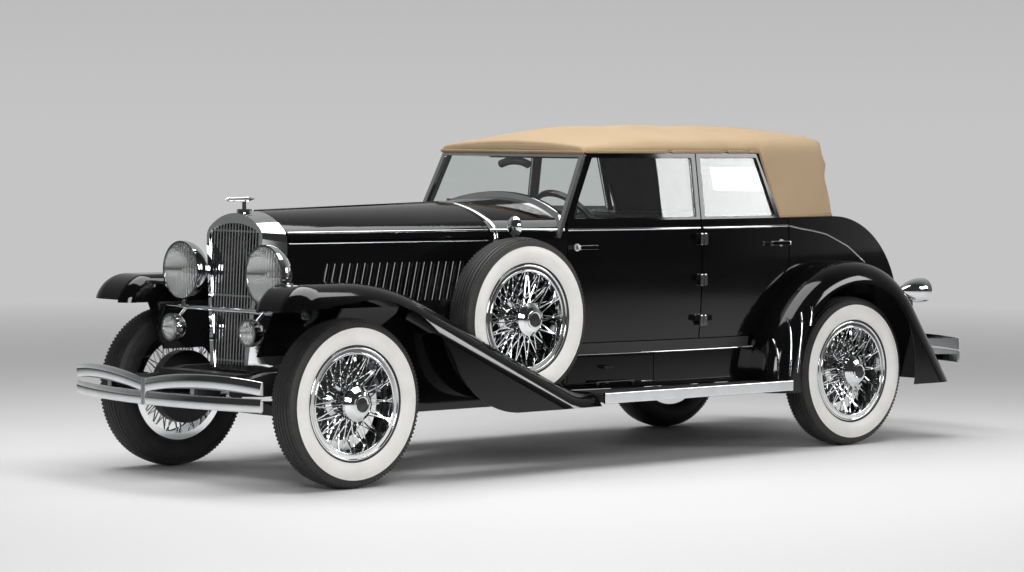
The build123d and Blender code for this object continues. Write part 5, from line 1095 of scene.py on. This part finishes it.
@dataclass
class SideTrim:
    """Bright mouldings, ribs, handles, hinge caps and sill lines of both sides, and the louvre hoods."""

    belt_z: float = 1.243
    belt_size: tuple[float, float] = (0.015, 0.007)
    belt_steps: int = 28
    hood_run: tuple[float, float] = (2.036, 0.830)
    cowl_run: tuple[float, float] = (0.815, 0.445)
    front_door_run: tuple[float, float] = (0.428, -0.458)
    rear_door_run: tuple[float, float] = (-0.482, -1.166)
    belt_tail: tuple[tuple[float, float], ...] = (
        (-1.186, 1.241),
        (-1.273, 1.226),
        (-1.400, 1.209),
        (-1.522, 1.188),
        (-1.733, 1.116),
        (-1.913, 1.021),
    )
    tail_steps: int = 6
    tail_size: tuple[float, float] = (0.012, 0.006)
    crease_z: float = 1.188
    crease_size: tuple[float, float] = (0.006, 0.003)
    crease_steps: int = 24
    sill_z: float = 0.580
    sill_run: tuple[float, float] = (0.40, -0.90)
    sill_size: tuple[float, float] = (0.010, 0.005)
    sill_steps: int = 30
    rib_count: int = 4
    rib_steps: int = 18
    rib_feet: tuple[float, float] = (-0.915, -1.093)
    rib_heads: tuple[float, float] = (-0.943, -1.153)
    rib_foot_z: float = 0.41
    rib_foot_rise: float = 0.04
    rib_head_z: float = 0.71
    rib_head_rise: float = 0.09
    rib_size: tuple[float, float] = (0.013, 0.009)
    hood_side: tuple = ((2.044, 0.268), (0.821, 0.420))
    louvre_count: int = 19
    louvre_z: float = 0.985
    louvre_half: float = 0.101
    louvre_lean: float = 12.0
    louvre_shift: float = 0.010
    louvre_margins: tuple[float, float] = (0.230, 0.190)
    louvre_section: tuple[float, float, float, int] = (0.030, 0.0095, 0.002, 8)
    handle_z: float = 1.150
    handle_probe: float = 0.045
    spindle_front: float = 0.375
    spindle_rear: float = -1.105
    rosette: tuple[tuple[float, float], ...] = (
        (0.0005, -0.004),
        (0.021, -0.004),
        (0.020, 0.006),
        (0.012, 0.010),
        (0.011, 0.034),
        (0.0005, 0.035),
    )
    lever_out: float = 0.039
    lever_ends: tuple[float, float] = (-0.033, 0.113)
    lever_section: tuple[float, float, float] = (0.0115, 0.0085, 0.004)
    hinge_heights: tuple[float, ...] = (0.740, 0.962, 1.184)
    hinge_gap: float = 0.0015
    hinge_cap: tuple[tuple[float, float], ...] = (
        (0.0005, -0.0005),
        (0.0125, -0.0005),
        (0.0125, 0.027),
        (0.009, 0.0305),
        (0.0005, 0.0315),
    )

    def moulding(
        self, name: str, node: str, body: str, points: list, sign: int, size: tuple[float, float]
    ) -> None:
        """Lays one bright strip on a node and settles it.

        Args:
            name: the piece's name.
            node: the CAD node that it lies on.
            body: the body that carries it.
            points: side-view points (x, z).
            sign: 1 for the left side.
            size: the strip's width, and how far it stands out.
        """
        path, normals = Skin(node).side_path(points, sign)
        if len(path) < 2:
            LOG.info("%s found no surface", name)
            return
        settle(strip(name, path, normals, half_round(*size), CHROME), body, Slot.CHROME)

    def belt(self, side: str, sign: int) -> None:
        """Belt line from the radiator to the tail."""
        runs = (
            (f"hood_leaf_{side}", f"hood_{side[0]}", self.hood_run),
            ("cowl", CAR, self.cowl_run),
            (f"door_front_{side}", f"entry_front_{side}", self.front_door_run),
            (f"door_rear_{side}", f"entry_rear_{side}", self.rear_door_run),
        )
        for node, body, run in runs:
            points = [(x, self.belt_z) for x in stations(*run, self.belt_steps)]
            self.moulding(f"belt_{node}_{side}", node, body, points, sign, self.belt_size)
        points = []
        steps = self.tail_steps
        for (x0, z0), (x1, z1) in zip(self.belt_tail, self.belt_tail[1:]):
            points.extend((x0 + (x1 - x0) * n / steps, z0 + (z1 - z0) * n / steps) for n in range(steps))
        points.append(self.belt_tail[-1])
        self.moulding(f"belt_tail_{side}", "rear_body", CAR, points, sign, self.tail_size)
        crease = [(x, self.crease_z) for x in stations(*self.hood_run, self.crease_steps)]
        self.moulding(f"hood_crease_{side}", "hood_sides", CAR, crease, sign, self.crease_size)

    def ribs(self, side: str, sign: int) -> None:
        """Chrome ribs on the front of the rear fender."""
        feet = stations(*self.rib_feet, self.rib_count)
        heads = stations(*self.rib_heads, self.rib_count)
        for number, (foot, head) in enumerate(zip(feet, heads)):
            share = number / (self.rib_count - 1)
            low = self.rib_foot_z + self.rib_foot_rise * share
            high = self.rib_head_z + self.rib_head_rise * share
            points = list(zip(stations(foot, head, self.rib_steps), stations(low, high, self.rib_steps)))
            self.moulding(f"fender_rib_{number}_{side}", "rear_fenders", CAR, points, sign, self.rib_size)

    def handle(self, name: str, node: str, body: str, x: float, way: int, sign: int) -> None:
        """Lever handle with a round base.

        Args:
            name: the piece's name.
            node: the door's node.
            body: the door's body.
            x: where the spindle is.
            way: 1 if the lever points forward.
            sign: 1 for the left side.
        """
        probe = Vector((x, sign * RAY_START, self.handle_z + self.handle_probe))
        hit = Skin(node).cast(probe, Vector((0, -sign, 0)))
        if hit is None:
            return
        place = Vector((x, hit[0].y, self.handle_z))
        out = Vector((0, sign, 0))
        settle(lathe(f"{name}_base", self.rosette, place, out, SATIN_PAINTED_HIGHLIGHT, 24), body, Slot.CHROME)
        path = [place + out * self.lever_out + Vector((way * d, 0, 0)) for d in stations(*self.lever_ends, 9)]
        section = rounded_section(*self.lever_section)
        settle(strip(f"{name}_lever", path, [out] * len(path), section, SATIN_PAINTED_HIGHLIGHT), body, Slot.CHROME)

    def hinges(self, side: str) -> None:
        """Bright caps over the hinge barrels between the two doors."""
        cap, up = self.hinge_cap, Vector((0, 0, 1))
        for place in ("front", "rear"):
            pivot = joint_place(f"open_{place}_{side}")
            for number, z in enumerate(self.hinge_heights):
                label = f"{place}_{side}_{number}"
                foot = Vector((pivot.x, pivot.y, z))
                upper = lathe(f"hinge_cap_{label}", cap, foot, up, CHROME, 20)
                settle(upper, f"entry_{place}_{side}", Slot.CHROME)
                foot = Vector((pivot.x, pivot.y, z - self.hinge_gap))
                lower = lathe(f"hinge_foot_{label}", cap, foot, -up, CHROME, 20)
                settle(lower, CAR, Slot.CHROME)

    def louvres(self, side: str, sign: int) -> None:
        """Rounded louvre hoods along the hood side, each leaning back a little."""
        start, end = (Vector((x, sign * y, 0)) for x, y in self.hood_side)
        run = (end - start).normalized()
        out = Vector((-run.y, run.x, 0)) * -sign
        axis = (Vector((0, 0, 1)) + run * math.tan(math.radians(self.louvre_lean))).normalized()
        lines = []
        ahead, behind = self.louvre_margins
        for along in stations(ahead, (end - start).length - behind, self.louvre_count):
            middle = start + run * (along - self.louvre_shift) + Vector((0, 0, self.louvre_z))
            path = [middle + axis * d for d in stations(-self.louvre_half, self.louvre_half, 5)]
            lines.append((path, [out] * len(path)))
        hoods = strips(f"louvre_hoods_{side}", lines, half_round(*self.louvre_section), LACQUER)
        settle(hoods, CAR, Slot.PAINT)

    def sill(self, side: str, sign: int) -> None:
        """Bright line along the foot of the doors."""
        points = [(x, self.sill_z) for x in stations(*self.sill_run, self.sill_steps)]
        path, normals = Skin("splash_aprons", "door_posts", "rear_body").side_path(points, sign)
        if len(path) > 1:
            line = strip(f"sill_line_{side}", path, normals, half_round(*self.sill_size), CHROME)
            settle(line, CAR, Slot.CHROME)

    def build(self) -> None:
        """Makes the trim of both sides."""
        for side, sign in SIDES.items():
            self.belt(side, sign)
            self.ribs(side, sign)
            self.hinges(side)
            self.louvres(side, sign)
            self.sill(side, sign)
            for place, x, way in (("front", self.spindle_front, -1), ("rear", self.spindle_rear, 1)):
                label = f"{place}_{side}"
                self.handle(f"handle_{label}", f"door_{label}", f"entry_{label}", x, way, sign)


@dataclass
class Front:
    """Lamp insides, wipers, mirrors and the cowl band."""

    lamps: tuple[tuple[float, float, float, float], ...] = (
        (2.255, 0.346, 1.040, 0.152),
        (2.340, 0.322, 0.755, 0.070),
    )
    large_lamp: float = 0.152
    bowl_radius: float = 0.138
    bowl_back: float = -0.062
    bowl_depth: float = 0.044
    bowl_wall: float = 0.003
    bulb: tuple[tuple[float, float], ...] = (
        (0.0005, -0.060),
        (0.010, -0.058),
        (0.014, -0.046),
        (0.012, -0.034),
        (0.0005, -0.028),
    )
    band_x: float = 0.792
    band_z: float = 1.10
    band_degrees: float = 82.0
    band_reach: float = 1.5
    band_steps: int = 49
    band_size: tuple[float, float] = (0.024, 0.005)
    pane_foot: tuple[float, float] = (0.496, 1.199)
    pane_slope: float = 0.509
    wiper_ends: tuple[tuple[float, float], ...] = ((0.33, 0.04), (-0.10, -0.39))
    wiper_z: float = 1.338
    wiper_rise: float = 0.042
    blade_out: float = 0.010
    blade_radius: float = 0.008
    arm_out: float = 0.020
    arm_radius: float = 0.0065
    mirror_z: float = 1.272
    mirror_ahead: float = 0.03
    mirror_look: tuple[float, float, float] = (-1, 0, 0.05)
    stem_ahead: float = 0.008
    stem_z: tuple[float, float] = (-0.03, -0.065)
    stem_radius: float = 0.008
    mirror_dish: tuple[tuple[float, float], ...] = (
        (0.0005, -0.028),
        (0.026, -0.023),
        (0.046, -0.010),
        (0.053, 0.002),
        (0.050, 0.005),
        (0.0005, 0.005),
    )
    inside_mirror_x: float = 0.27
    inside_mirror_z: float = 1.600
    inside_mirror_half: float = 0.11
    inside_mirror_drop: float = 0.02
    inside_mirror_radius: float = 0.022
    stalk_x: float = 0.272
    stalk_z: tuple[float, float] = (1.60, 1.668)
    stalk_radius: float = 0.007

    def lamp_insides(self) -> None:
        """Reflector and bulb inside each lamp."""
        ahead = Vector((1, 0, 0))
        radii = stations(0.0005, self.bowl_radius, 14)
        bowl = [(r, self.bowl_back + self.bowl_depth * (r / self.bowl_radius) ** 2) for r in radii]
        back = [(r, a - self.bowl_wall) for r, a in reversed(bowl)]
        for number, (x, y, z, radius) in enumerate(self.lamps):
            scale = radius / self.large_lamp
            bulb = [(r * scale, a * scale) for r, a in self.bulb]
            dish = [(r * scale, a * scale) for r, a in bowl + back]
            for side, sign in SIDES.items():
                centre = Vector((x, sign * y, z))
                reflector = lathe(f"reflector_{number}_{side}", dish, centre, ahead, CHROME, 48)
                settle(reflector, CAR, Slot.CHROME)
                settle(lathe(f"bulb_{number}_{side}", bulb, centre, ahead, BULB, 20), CAR, Slot.GLASS)

    def cowl_band(self) -> None:
        """Bright band over the joint between hood and cowl."""
        skin = Skin("cowl")
        middle = Vector((self.band_x, 0, self.band_z))
        path, normals = [], []
        for turn in stations(-self.band_degrees, self.band_degrees, self.band_steps):
            way = Vector((0, math.sin(math.radians(turn)), math.cos(math.radians(turn))))
            hit = skin.cast(middle + way * self.band_reach, -way)
            if hit:
                path.append(hit[0])
                normals.append(hit[1])
        settle(strip("cowl_band", path, normals, half_round(*self.band_size), CHROME), CAR, Slot.CHROME)

    def wipers(self) -> None:
        """Two wipers that rest low on the windshield."""
        out = Vector((1, 0, self.pane_slope)).normalized()
        foot_x, foot_z = self.pane_foot
        for number, (pivot, tip) in enumerate(self.wiper_ends):
            path = []
            for share in stations(0, 1, 10):
                z = self.wiper_z + self.wiper_rise * share
                x = foot_x - (z - foot_z) * self.pane_slope
                path.append(Vector((x, pivot + (tip - pivot) * share, z)))
            blade = [p + out * self.blade_out for p in path[2:]]
            section = round_section(self.blade_radius, 8)
            rubber = strip(f"wiper_blade_{number}", blade, [out] * len(blade), section, RUBBER)
            settle(rubber, CAR, Slot.BOARD)
            arm = [p + out * self.arm_out for p in path[:7]]
            section = round_section(self.arm_radius, 8)
            rod = strip(f"wiper_arm_{number}", arm, [out] * len(arm), section, STEEL)
            settle(rod, CAR, Slot.CHROME)

    def mirrors(self) -> None:
        """Round mirrors on the spare wheels, and the inside mirror at the header."""
        ahead = Vector((1, 0, 0))
        for side, sign in SIDES.items():
            centre = Vector((SPARE_X + self.mirror_ahead, sign * WHEEL_Y, self.mirror_z))
            look = Vector(self.mirror_look)
            head = lathe(f"spare_mirror_{side}", self.mirror_dish, centre, look, CHROME, 36)
            settle(head, CAR, Slot.CHROME)
            stem = [centre + Vector((self.stem_ahead, 0, z)) for z in stations(*self.stem_z, 6)]
            section = round_section(self.stem_radius, 10)
            foot = strip(f"spare_mirror_stem_{side}", stem, [ahead] * len(stem), section, CHROME)
            settle(foot, CAR, Slot.CHROME)
        path = []
        for y in stations(-self.inside_mirror_half, self.inside_mirror_half, 15):
            z = self.inside_mirror_z - self.inside_mirror_drop * (y / self.inside_mirror_half) ** 2
            path.append(Vector((self.inside_mirror_x, y, z)))
        section = round_section(self.inside_mirror_radius, 12)
        inside = strip("inside_mirror", path, [ahead] * len(path), section, DASH)
        settle(inside, CAR, Slot.DASH)
        stalk = [Vector((self.stalk_x, 0, z)) for z in stations(*self.stalk_z, 6)]
        section = round_section(self.stalk_radius, 8)
        stem = strip("inside_mirror_stalk", stalk, [ahead] * len(stalk), section, STEEL)
        settle(stem, CAR, Slot.CHROME)

    def build(self) -> None:
        """Makes the front's pieces."""
        self.lamp_insides()
        self.cowl_band()
        self.wipers()
        self.mirrors()


@dataclass
class Bumper:
    """Rounded faces and centre clip of one double-bar bumper."""

    name: str
    way: int
    half: float
    sweep: float
    bars: tuple[float, float]
    wave: float
    face_x: float = 2.730
    tall: float = 0.068
    crown: float = 0.011
    sink: float = 0.004
    crest_share: float = 0.45
    clip_width: float = 0.044
    clip_out: float = 0.017

    def on_face(self, y: float, z: float) -> tuple[Vector, Vector]:
        """Place and outward direction on the curved front of the bars."""
        radius = (self.half**2 + self.sweep**2) / (2 * self.sweep)
        back = radius - math.sqrt(radius**2 - y**2)
        out = Vector((self.way * (radius - back), y, 0)).normalized()
        return Vector((self.way * (self.face_x - back), y, z)) - out * self.sink, out

    def heights(self) -> list[list[tuple[float, float]]]:
        """Middle lines (y, z) of the lower and the upper bar."""
        low, high = self.bars
        crest = (self.half * self.crest_share, high + self.wave)
        right = arc_through((0, high - self.wave), crest, (self.half, high), 25)
        upper = [(-y, z) for y, z in reversed(right)] + right[1:]
        return [[(y, low) for y in stations(-self.half, self.half, 49)], upper]

    def build(self) -> None:
        """Makes and settles the faces of both bars and the clip."""
        section = half_round(self.tall, self.crown, self.sink, 12)
        for label, line in zip(("lower", "upper"), self.heights()):
            rows = [self.on_face(y, z) for y, z in line]
            path, out = [p for p, _ in rows], [n for _, n in rows]
            face = strip(f"{self.name}_{label}_face", path, out, section, CHROME)
            settle(face, CAR, Slot.CHROME)
        low, high = self.bars
        heights = stations(low - self.tall / 2, high + self.tall / 2 - self.wave, 9)
        rows = [self.on_face(0, z) for z in heights]
        path, out = [p for p, _ in rows], [n for _, n in rows]
        section = half_round(self.clip_width, self.clip_out, self.sink, 8)
        clip = strip(f"{self.name}_clip", path, out, section, CHROME)
        settle(clip, CAR, Slot.CHROME)


@dataclass
class Fittings:
    """Bumper faces, hub discs, rim beads, brake drums and tail-lamp lenses."""

    cap_face: float = 0.122
    rim_face: float = 0.066
    beads: tuple[float, float] = (0.2765, 0.2495)
    bead_section: tuple[float, float, float, int] = (0.012, 0.005, 0.002, 8)
    hub_disc: tuple[tuple[float, float], ...] = (
        (0.0005, -0.002),
        (0.034, -0.002),
        (0.034, 0.002),
        (0.0005, 0.004),
    )
    hub_ring: tuple[tuple[float, float], ...] = (
        (0.034, -0.004),
        (0.046, -0.005),
        (0.045, 0.003),
        (0.039, 0.006),
        (0.034, 0.003),
    )
    drum_near: float = 0.066
    drum_far: float = 0.135
    drum_radius: float = 0.196
    tail: tuple[float, float, float] = (-2.240, 0.746, 0.857)
    tail_dome: tuple[tuple[float, float], ...] = (
        (0.0005, -0.003),
        (0.058, -0.003),
        (0.056, 0.003),
        (0.042, 0.009),
        (0.022, 0.012),
        (0.0005, 0.013),
    )

    def wheel_spots(self) -> list[tuple[str, str, str, Vector, int]]:
        """Label, CAD node, body, middle and outer sign of each of the six wheels."""
        spots = []
        for corner in CORNERS:
            place, side = corner.split("_")
            middle = Vector((AXLE_X[place], SIDES[side] * WHEEL_Y, AXLE_Z))
            spots.append((corner, f"wheel_{corner}", f"road_wheel_{corner}", middle, SIDES[side]))
        for side, sign in SIDES.items():
            middle = Vector((SPARE_X, sign * WHEEL_Y, Tyres.spare_z))
            spots.append((f"spare_{side}", "spare_wheels", CAR, middle, sign))
        return spots

    def wheel_trim(self) -> None:
        """Plain dark disc in a bright ring on each hub cap, and two beads round each rim."""
        section = half_round(*self.bead_section)
        for label, _, body, middle, sign in self.wheel_spots():
            out = Vector((0, sign, 0))
            centre = middle + out * self.cap_face
            settle(lathe(f"hub_disc_{label}", self.hub_disc, centre, out, ENAMEL, 36), body, Slot.PAINT)
            settle(lathe(f"hub_ring_{label}", self.hub_ring, centre, out, CHROME, 36), body, Slot.CHROME)
            rim = middle + out * self.rim_face
            for number, radius in enumerate(self.beads):
                bead = [(radius + a, b) for a, b in section]
                settle(lathe(f"rim_bead_{label}_{number}", bead, rim, out, CHROME, 96), body, Slot.CHROME)

    def drums(self) -> None:
        """Black brake drums behind the bright spokes."""
        for _, node, _, middle, sign in self.wheel_spots():
            mesh = FRAME["nodes"][node].data
            mesh.materials.append(CHASSIS.material())
            last = len(mesh.materials) - 1
            for face in mesh.polygons:
                spot = face.center - middle
                inward = -spot.y * sign
                if math.hypot(spot.x, spot.z) < self.drum_radius and self.drum_near < inward < self.drum_far:
                    face.material_index = last

    def tail_lenses(self) -> None:
        """Red domed lens on the back of each tail lamp."""
        x, y, z = self.tail
        for side, sign in SIDES.items():
            centre = Vector((x, sign * y, z))
            lens = lathe(f"tail_lens_{side}", self.tail_dome, centre, Vector((-1, 0, 0)), RED, 36)
            settle(lens, CAR, Slot.GLASS)

    def build(self) -> None:
        """Makes all the fittings."""
        Bumper("front_bumper", way=1, half=0.768, sweep=0.136, bars=(0.436, 0.518), wave=0.020).build()
        Bumper("rear_bumper", way=-1, half=0.715, sweep=0.126, bars=(0.456, 0.530), wave=0.006).build()
        self.wheel_trim()
        self.drums()
        self.tail_lenses()


def grey(level: float) -> tuple[float, float, float, float]:
    """A neutral colour of the given level."""
    return (level, level, level, 1)


@dataclass
class Studio:
    """Camera, floor, light and background."""

    place: tuple[float, float, float] = (12.14, 13.14, 1.76)
    way: tuple[float, float, float] = (-0.6691, -0.7417, -0.0474)
    roll: float = 0.34
    lens: float = 114.65
    film_width: float = 36.0
    sight: float = 400.0
    floor_radius: float = 60.0
    floor_sides: int = 64
    floor_grey: float = 0.74
    floor_rough: float = 0.6
    floor_fade: tuple[float, float] = (3.0, 16.0)
    far_floor_dim: float = 0.10
    horizon_grey: float = 0.56
    sky_grey: float = 0.40
    sky_height: float = 0.12
    room_grey: float = 0.035
    backdrop_way: tuple[float, float, float] = (-0.67, -0.74, 0.0)
    backdrop_edge: tuple[float, float] = (-0.1, 0.8)

    def camera(self) -> None:
        """Places the camera at the photograph's view."""
        data = bpy.data.cameras.new("portrait")
        data.lens = self.lens
        data.sensor_width = self.film_width
        data.clip_end = self.sight
        camera = bpy.data.objects.new("portrait", data)
        bpy.context.collection.objects.link(camera)
        way = Vector(self.way).normalized()
        right = way.cross(Vector((0, 0, 1))).normalized()
        up = right.cross(way)
        angle = math.radians(self.roll)
        across = right * math.cos(angle) + up * math.sin(angle)
        over = up * math.cos(angle) - right * math.sin(angle)
        turn = Matrix((across, over, -way)).transposed().to_4x4()
        camera.matrix_world = Matrix.Translation(self.place) @ turn
        bpy.context.scene.camera = camera

    def lamp(self, name: str, place: tuple, target: tuple, size: tuple[float, float], power: float) -> None:
        """Hangs one soft rectangular light.

        Args:
            name: the light's name.
            place: where it hangs.
            target: what it points at.
            size: width and height.
            power: watts.
        """
        data = bpy.data.lights.new(name, "AREA")
        data.shape = "RECTANGLE"
        data.size, data.size_y = size
        data.energy = power
        light = bpy.data.objects.new(name, data)
        bpy.context.collection.objects.link(light)
        light.location = place
        aim = Vector(target) - Vector(place)
        light.rotation_euler = aim.to_track_quat("-Z", "Y").to_euler()

    def floor(self) -> None:
        """Pale floor that fades into the background."""
        mesh = bpy.data.meshes.new("floor")
        turns = [math.tau * n / self.floor_sides for n in range(self.floor_sides)]
        ring = [(math.cos(a) * self.floor_radius, math.sin(a) * self.floor_radius, 0) for a in turns]
        mesh.from_pydata(ring, [], [range(self.floor_sides)])
        floor = bpy.data.objects.new("floor", mesh)
        bpy.context.collection.objects.link(floor)
        material = bpy.data.materials.new("pale_floor")
        material.use_nodes = True
        nodes, links = material.node_tree.nodes, material.node_tree.links
        shader = nodes["Principled BSDF"]
        shader.inputs["Base Color"].default_value = grey(self.floor_grey)
        shader.inputs["Roughness"].default_value = self.floor_rough
        where = nodes.new("ShaderNodeTexCoord")
        reach = nodes.new("ShaderNodeVectorMath")
        reach.operation = "LENGTH"
        fade = nodes.new("ShaderNodeMapRange")
        fade.inputs["From Min"].default_value, fade.inputs["From Max"].default_value = self.floor_fade
        glow = nodes.new("ShaderNodeEmission")
        glow.inputs["Color"].default_value = grey(self.horizon_grey)
        blend = nodes.new("ShaderNodeMixShader")
        seen = nodes.new("ShaderNodeLightPath")
        level = nodes.new("ShaderNodeMapRange")
        level.inputs["To Min"].default_value = self.far_floor_dim
        level.inputs["To Max"].default_value = 1.0
        links.new(seen.outputs["Is Camera Ray"], level.inputs["Value"])
        links.new(level.outputs["Result"], glow.inputs["Strength"])
        links.new(where.outputs["Object"], reach.inputs[0])
        links.new(reach.outputs["Value"], fade.inputs["Value"])
        links.new(fade.outputs["Result"], blend.inputs[0])
        links.new(shader.outputs[0], blend.inputs[1])
        links.new(glow.outputs[0], blend.inputs[2])
        links.new(blend.outputs[0], nodes["Material Output"].inputs[0])
        mesh.materials.append(material)

    def world(self) -> None:
        """Grey backdrop, lighter near the horizon, with a dark room behind the camera."""
        world = bpy.data.worlds.new("studio")
        world.use_nodes = True
        bpy.context.scene.world = world
        nodes, links = world.node_tree.nodes, world.node_tree.links
        back = nodes["Background"]
        where = nodes.new("ShaderNodeTexCoord")
        parts = nodes.new("ShaderNodeSeparateXYZ")
        ramp = nodes.new("ShaderNodeValToRGB")
        horizon, sky = ramp.color_ramp.elements
        horizon.position = 0.0
        horizon.color = grey(self.horizon_grey)
        sky.position = self.sky_height
        sky.color = grey(self.sky_grey)
        toward = nodes.new("ShaderNodeVectorMath")
        toward.operation = "DOT_PRODUCT"
        toward.inputs[1].default_value = self.backdrop_way
        lit = nodes.new("ShaderNodeMapRange")
        lit.inputs["From Min"].default_value, lit.inputs["From Max"].default_value = self.backdrop_edge
        seen = nodes.new("ShaderNodeLightPath")
        direct = nodes.new("ShaderNodeMath")
        direct.operation = "MAXIMUM"
        share = nodes.new("ShaderNodeMath")
        share.operation = "MAXIMUM"
        blend = nodes.new("ShaderNodeMix")
        blend.data_type = "RGBA"
        blend.inputs[6].default_value = grey(self.room_grey)
        links.new(where.outputs["Generated"], parts.inputs[0])
        links.new(where.outputs["Generated"], toward.inputs[0])
        links.new(parts.outputs["Z"], ramp.inputs[0])
        links.new(toward.outputs["Value"], lit.inputs["Value"])
        links.new(seen.outputs["Is Camera Ray"], direct.inputs[0])
        links.new(seen.outputs["Is Transmission Ray"], direct.inputs[1])
        links.new(direct.outputs[0], share.inputs[0])
        links.new(lit.outputs["Result"], share.inputs[1])
        links.new(share.outputs[0], blend.inputs[0])
        links.new(ramp.outputs["Color"], blend.inputs[7])
        links.new(blend.outputs[2], back.inputs["Color"])
        back.inputs["Strength"].default_value = 1.0

    def build(self) -> None:
        """Sets up the whole studio."""
        self.camera()
        self.floor()
        self.world()
        self.lamp("overhead", place=(0.8, 0.2, 6.0), target=(0.3, 0, 0.5), size=(7.5, 4.6), power=520)
        self.lamp("front_left", place=(6.5, 6.5, 3.2), target=(0.5, 0, 0.8), size=(4.0, 2.2), power=300)
        self.lamp("rear_left", place=(-6.0, 6.0, 3.4), target=(-1.0, 0, 0.9), size=(3.0, 2.0), power=160)
        bpy.context.scene.view_settings.view_transform = "Standard"


def dress_frame() -> None:
    """Gives every CAD node the finish of its material slot."""
    special = {"lamp_lenses": LENS}
    for part in FRAME["record"]["subparts"]:
        node = FRAME["nodes"][part["node"]]
        finish = special.get(part["node"], SLOT_FINISH[Slot(part["material_slot"])])
        node.data.materials.clear()
        node.data.materials.append(finish.material())


def main() -> None:
    """Builds every sub-assembly."""
    logging.basicConfig(level=logging.INFO, format="%(message)s")
    dress_frame()
    for assembly in (Tyres(), SoftTop(), Seats(), SideTrim(), Front(), Fittings(), Studio()):
        assembly.build()


if __name__ == "__main__":
    main()
